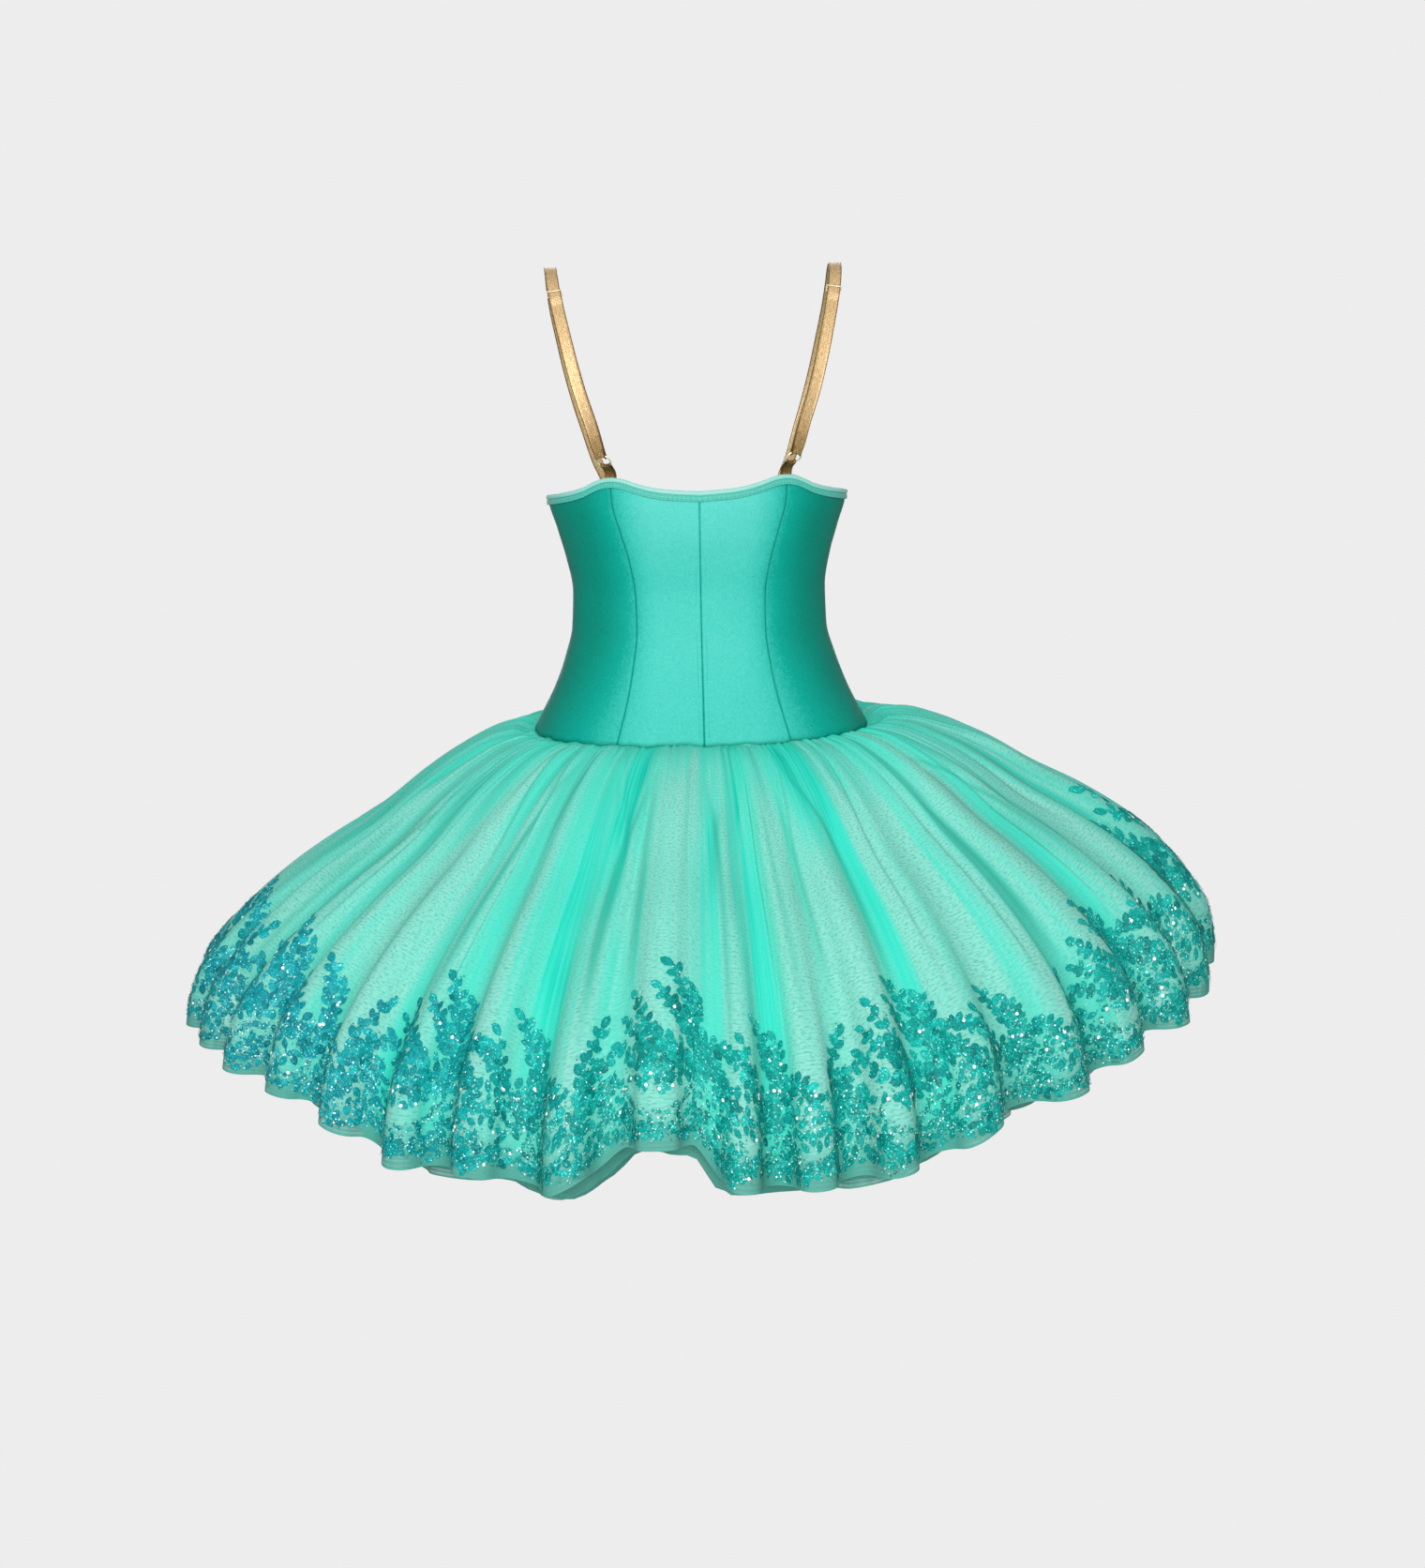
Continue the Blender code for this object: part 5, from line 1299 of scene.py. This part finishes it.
def repeat_leaves(rng):
    """The leaves of one repeat: rows of x, y, heading, length, width and tone."""
    rows = []
    for branch in BRANCHES:
        shares = (np.arange(branch.nodes) + 0.3) / branch.nodes
        points, headings = branch_line(branch, shares)
        for (x, y), heading, t in zip(points, headings, shares):
            size = LEAF_SCALE * branch.size * (1.0 - 0.25 * t)
            for side in (branch.turn, -branch.turn, 0.1):
                lean = heading + side + rng.normal(0, 0.16)
                length = size * rng.uniform(0.85, 1.1)
                rows.append((x, y, lean, length, length * rng.uniform(0.58, 0.70), rng.uniform(*LEAF_TONES)))
        (tip,), (heading,) = branch_line(branch, [1.0])
        size = LEAF_SCALE * branch.size
        rows.append((*tip, heading + 0.3, size, 0.6 * size, 0.32))
    for flower in FLOWERS:
        start = rng.uniform(0, 1)
        for k in range(flower.petals):
            heading = TURN * (k + start) / flower.petals
            inner = ahead_of(flower.x, flower.y, heading, 0.12 * flower.radius)
            length = LEAF_SCALE * flower.radius
            rows.append((*inner, heading, length, 0.62 * length, rng.uniform(*LEAF_TONES)))
    for window in WINDOWS:
        count = round(window.half_width / 2.6)
        for k in range(count):
            a = math.pi * (1.02 + 0.96 * k / (count - 1))
            x, y = window_edge(window, a, 2.5)
            rows.append((x, y, a + math.pi / 2 + rng.normal(0, 0.25), 6.5, 3.4, rng.uniform(0.15, 0.4)))
    placed = [ahead_of(*row[:3], 0.5 * row[3]) for row in rows]
    for _ in range(FILL_TRIES):
        x, y = rng.uniform(0, REPEAT), rng.uniform(3, 110)
        if y > FILL_HEIGHT + hills(FILL_HILLS, x) or y < lower_edge(x) + 2 or in_window(x, y, 4.0):
            continue
        near = np.array(placed) - (x, y)
        near[:, 0] = (near[:, 0] + REPEAT / 2) % REPEAT - REPEAT / 2
        if np.hypot(*near.T).min() < 6.2 + 0.02 * y:
            continue
        placed.append((x, y))
        size = rng.uniform(8.0, 11.5)
        heading = rng.uniform(0, TURN) if y < 50 else rng.normal(math.pi / 2, 0.9)
        x, y = ahead_of(x, y, heading, -0.5 * size)
        rows.append((x, y, heading, size, size * rng.uniform(0.52, 0.68), rng.uniform(0.12, 0.40)))
    return np.array(rows)


def repeat_sequins(rng, leaves):
    """The sequins of one repeat: rows of x, y, radius and tone."""
    rows = []
    for _ in range(SCATTERED_SEQUINS):
        x = rng.uniform(0, REPEAT)
        y = lower_edge(x) + rng.beta(1.0, 1.4) * 66
        if not in_window(x, y, 0.8):
            rows.append((x, y))
    for x, y, heading, length in leaves[rng.integers(0, len(leaves), LEAF_SEQUINS), :4]:
        x, y = ahead_of(x, y, heading, rng.uniform(0.1, 1.15) * length)
        rows.append((x + rng.normal(0, 1.2), y))
    for window in WINDOWS:
        for a in np.linspace(1.04 * math.pi, 1.96 * math.pi, round(1.2 * window.half_width)):
            rows += [window_edge(window, a, beyond) for beyond in (0.9, 4.4)]
    places = np.array(rows)
    radius = rng.uniform(0.65, 1.0, len(places))
    tone = rng.choice(SEQUIN_TONES, len(places), p=SEQUIN_TONE_SHARES)
    # A few sequins are painted white, as glints
    painted_glints = rng.integers(0, len(places), PAINTED_GLINT_SEQUINS)
    radius[painted_glints], tone[painted_glints] = PAINTED_GLINT_RADIUS, PAINTED_GLINT_TONE
    return np.column_stack([places, radius, tone])


class HemMap:
    """Places on the overlay near its hem, from millimetres along the hem and up from it."""

    def __init__(self, points, share):
        self.points = points
        self.normals = grid_normals(points)
        rows, self.columns = points.shape[:2]
        around = np.linalg.norm(np.roll(points, -1, axis=1) - points, axis=-1)
        row = int(np.argmin(np.abs(share - LACE_SHARE)))
        self.along = distances(around[row])
        self.stretch = self.along[-1] / (REPEATS * REPEAT)
        rounds = around.sum(axis=1)
        self.narrowing = rounds / rounds[row]
        self.height = distances(step_lengths(points).mean(axis=1)[::-1])[::-1]
        self.row_numbers = np.arange(rows)

    def cells(self, x, y):
        along = (x + LACE_TURN * REPEAT) * self.stretch % self.along[-1]
        column = np.interp(along, self.along, np.arange(self.columns + 1))
        climb = hills(LACE_CLIMBS, column / self.columns * 360)
        return column, np.interp(-y / 1000 * (1 + climb), -self.height, self.row_numbers)

    def sample(self, grid, x, y):
        column, row = self.cells(x, y)
        j = np.floor(column).astype(int) % self.columns
        i = np.clip(np.floor(row).astype(int), 0, len(grid) - 2)
        s, t = (column % 1)[..., None], (row - i)[..., None]
        k = (j + 1) % self.columns
        return mix(mix(grid[i, j], grid[i, k], s), mix(grid[i + 1, j], grid[i + 1, k], s), t)

    def widening(self, y):
        """How much wider a motif is drawn at a height, to keep its shape where the hem map narrows."""
        return 1 / np.interp(-np.asarray(y) / 1000, -self.height, self.narrowing) * 0.001 / self.stretch

    def at(self, x, y, lift):
        normal = unit(self.sample(self.normals, x, y))
        return self.sample(self.points, x, y) + normal * np.asarray(lift)[..., None]

    def frames(self, x, y, lift):
        """(point, along the hem, up the cloth, out) at places."""
        along = unit(self.at(x + 0.8, y, lift) - self.at(x - 0.8, y, lift))
        up = unit(self.at(x, y + 0.8, lift) - self.at(x, y - 0.8, lift))
        return self.at(x, y, lift), along, up, unit(np.cross(along, up))


def blueness(points, rng):
    """The lace glitters bluer towards the left."""
    share = ease((-0.02 - points[..., 0]) / 0.42)
    return np.clip(0.60 * share + rng.normal(0, 0.12, share.shape), 0, 1)


def all_round(repeat, strays, rng):
    """The rows of every repeat, with a stray of its own for each row in the columns that have one."""
    rows = []
    for k in range(REPEATS):
        turned = repeat.copy()
        turned[:, 0] += k * REPEAT
        for columns, spread in strays:
            turned[:, columns] += rng.normal(0, spread, turned[:, columns].shape)
        rows.append(turned)
    return np.concatenate(rows)


def make_leaves(hem, leaves, rng, material):
    rows = all_round(leaves, ((slice(0, 2), 0.8), (2, 0.12), (5, 0.08)), rng)
    x, y, heading, length, width, tone = rows.T[..., None]
    shape_ahead, shape_aside, shape_up = np.array(LEAF_SHAPE).T[:, None]
    ahead, aside = shape_ahead * length, shape_aside * width
    px = x + (ahead * np.cos(heading) - aside * np.sin(heading)) * hem.widening(y)
    py = y + ahead * np.sin(heading) + aside * np.cos(heading)
    points = hem.at(px, py, LACE_LIFT + LEAF_RISE * shape_up)
    faces = repeated((LEAF_QUADS, LEAF_TRIS), len(rows), len(LEAF_SHAPE))
    veins = np.clip(tone + 0.05 * (shape_up > 0.5), 0, 0.8)
    values = {"tone": veins, "blue": blueness(points, rng)}
    make_piece("lace_leaves", points, faces, material, "overlay_tulle", values=values)


def make_stems(hem, material, rng):
    """Thin stems under the branches' leaves."""
    steps = STEM_STEPS
    points, faces = [], []
    for repeat in range(REPEATS):
        for branch in BRANCHES:
            line, headings = branch_line(branch, np.linspace(0, 1, steps))
            line[:, 0] += repeat * REPEAT
            side = np.stack([-np.sin(headings), np.cos(headings)], -1)
            edges = [line + side * half for half in (-STEM_HALF_WIDTH, STEM_HALF_WIDTH)]
            grid = np.stack([hem.at(edge[:, 0], edge[:, 1], STEM_LIFT) for edge in edges], 1)
            faces.append(grid_faces(steps, 2) + len(points) * steps * 2)
            points.append(grid.reshape(-1, 3))
    points = np.concatenate(points)
    values = {"tone": np.full(len(points), 0.3), "blue": blueness(points, rng)}
    make_piece("lace_stems", points, np.concatenate(faces), material, "overlay_tulle", values=values)


def make_sequins(hem, sequins, rng, material):
    """Hexagonal sequins, each tilted a little its own way."""
    corners = 6
    x, y, radius, tone = all_round(sequins, ((slice(0, 2), 1.2),), rng).T
    frames = hem.frames(x, np.maximum(y, SEQUIN_LEAST_HEIGHT), SEQUIN_LIFT)
    point, along, up, out = (part[:, None] for part in frames)
    angle = rng.uniform(0, math.pi, len(x))[:, None] + np.arange(corners)[None, :] * TURN / corners
    tilt = rng.normal(0, 0.10, (2, len(x)))[..., None, None]
    cosine, sine = np.cos(angle)[..., None], np.sin(angle)[..., None]
    slope = cosine * tilt[0] + sine * tilt[1]
    points = point + radius[:, None, None] / 1000 * (along * cosine + up * sine + out * slope)
    faces = np.arange(len(x) * corners).reshape(-1, corners)
    values = {"tone": np.repeat(tone, corners), "blue": blueness(points, rng)}
    piece = make_piece("lace_sequins", points, faces, material, "overlay_tulle", values=values)
    piece.data.shade_flat()


def make_skirt():
    overlay_colours = stops(
        (0.0, 160, 240, 226), (0.42, 104, 234, 214), (0.75, 62, 229, 206), (1.0, 8, 206, 182)
    )
    middle_colours = stops((0.0, 140, 232, 214), (1.0, 60, 226, 202))
    bottom_colours = stops((0.0, 140, 222, 206), (1.0, 80, 212, 192))
    make_layer(BOTTOM, tulle_material("bottom_tulle", bottom_colours, 0.85, 0.99))
    make_layer(MIDDLE, tulle_material("middle_tulle", middle_colours, 0.7, 0.98))
    points = make_layer(OVERLAY, tulle_material("overlay_tulle", overlay_colours, 0.80, 0.98))
    rng = np.random.default_rng(SEED)
    hem = HemMap(points, layer_shares(OVERLAY))
    leaves = repeat_leaves(rng)
    embroidery = lace_material("lace_glitter", 0.6, 0.15, 1100.0)
    make_stems(hem, embroidery, rng)
    make_leaves(hem, leaves, rng, embroidery)
    make_sequins(hem, repeat_sequins(rng, leaves), rng, lace_material("lace_sequins", 0.35, 0.5, 400.0))


# Studio and camera
CAMERA_DISTANCE = 2.5
CAMERA_HEIGHT = -0.016
CAMERA_PITCH = math.radians(11.5)
CAMERA_ROLL = math.radians(1.035)
GARMENT_TURN = math.radians(1.626)
GARMENT_SHIFT = -0.0105
FOCAL_PIXELS = 2632.0
FRAME_HEIGHT_PIXELS = 1672.0
SENSOR = 36.0
BACKGROUND = srgb(237, 237, 237)
FLOOR_HEIGHT = -1.42
FLOOR_HALF_WIDTH = 40.0
AMBIENT_LIGHT = 0.33
LIGHTS_TARGET = (0.0, 0.0, -0.45)
Light = namedtuple("Light", "name x y z size power")
LIGHTS = table(Light, (
    ("key", -0.22, -2.8, 0.45, 2.4, 90), ("top", 0, -0.6, 2.2, 2.2, 8), ("left", -2.4, -1, 0.4, 1.4, 2),
    ("right", 2.4, -1, 0.4, 1.4, 2), ("behind", 0, 2.8, 0.2, 2, 36),
))


def make_camera():
    forward = Vector((0, math.cos(CAMERA_PITCH), -math.sin(CAMERA_PITCH)))
    level = Vector((1, 0, 0))
    upright = level.cross(forward)
    right = level * math.cos(CAMERA_ROLL) - upright * math.sin(CAMERA_ROLL)
    up = level * math.sin(CAMERA_ROLL) + upright * math.cos(CAMERA_ROLL)
    turn = Matrix.Rotation(-GARMENT_TURN, 3, "Z")
    place = turn @ Vector((-GARMENT_SHIFT, -CAMERA_DISTANCE, CAMERA_HEIGHT))
    columns = [turn @ right, turn @ up, turn @ -forward]
    camera = add_object("camera", bpy.data.cameras.new("camera"))
    camera.matrix_world = Matrix.Translation(place) @ Matrix(columns).transposed().to_4x4()
    camera.data.sensor_width = SENSOR
    camera.data.lens = SENSOR * FOCAL_PIXELS / FRAME_HEIGHT_PIXELS
    bpy.context.scene.camera = camera


def make_lights():
    for row in LIGHTS:
        light = bpy.data.lights.new(row.name, "AREA")
        light.size = row.size
        light.energy = row.power
        lamp = add_object(row.name, light)
        lamp.location = (row.x, row.y, row.z)
        lamp.rotation_mode = "QUATERNION"
        lamp.rotation_quaternion = (Vector(LIGHTS_TARGET) - lamp.location).to_track_quat("-Z", "Y")


def make_floor():
    nodes = Nodes(bpy.data.materials.new("studio_floor"))
    nodes.tree.nodes.remove(nodes.shader)
    half = FLOOR_HALF_WIDTH
    corners = [(x, y, FLOOR_HEIGHT) for x, y in ((-half, -half), (half, -half), (half, half), (-half, half))]
    mesh = bpy.data.meshes.new("floor")
    mesh.from_pydata(corners, [], [(0, 1, 2, 3)])
    mesh.materials.append(nodes.show(nodes.add("Emission", {"Color": BACKGROUND})))
    floor = add_object("floor", mesh)
    floor.visible_diffuse = False
    floor.visible_glossy = False
    floor.visible_transmission = False


def make_studio():
    scene = bpy.context.scene
    scene.view_settings.view_transform = "Standard"
    scene.cycles.transparent_max_bounces = 14
    scene.cycles.max_bounces = 6
    scene.cycles.diffuse_bounces = 3
    nodes = Nodes(bpy.data.worlds.new("studio"), "World Output")
    seen = nodes.add("LightPath", output="Is Camera Ray")
    shown = nodes.add("Background", {"Color": BACKGROUND})
    ambient = nodes.add("Background", {"Color": (1, 1, 1, 1), "Strength": AMBIENT_LIGHT})
    scene.world = nodes.show(nodes.add("MixShader", {0: seen, 1: ambient, 2: shown}))
    make_lights()
    make_floor()


def main():
    make_camera()
    make_studio()
    satin = satin_material()
    for panel in PANELS:
        make_panel(panel, satin)
    thread = thread_material("teal_thread", srgb(40, 178, 162))
    make_seam_stitches(thread)
    make_binding(binding_material(), thread_material("pale_thread", srgb(150, 222, 208)))
    make_straps(elastic_material(), gold_material())
    make_skirt()


main()
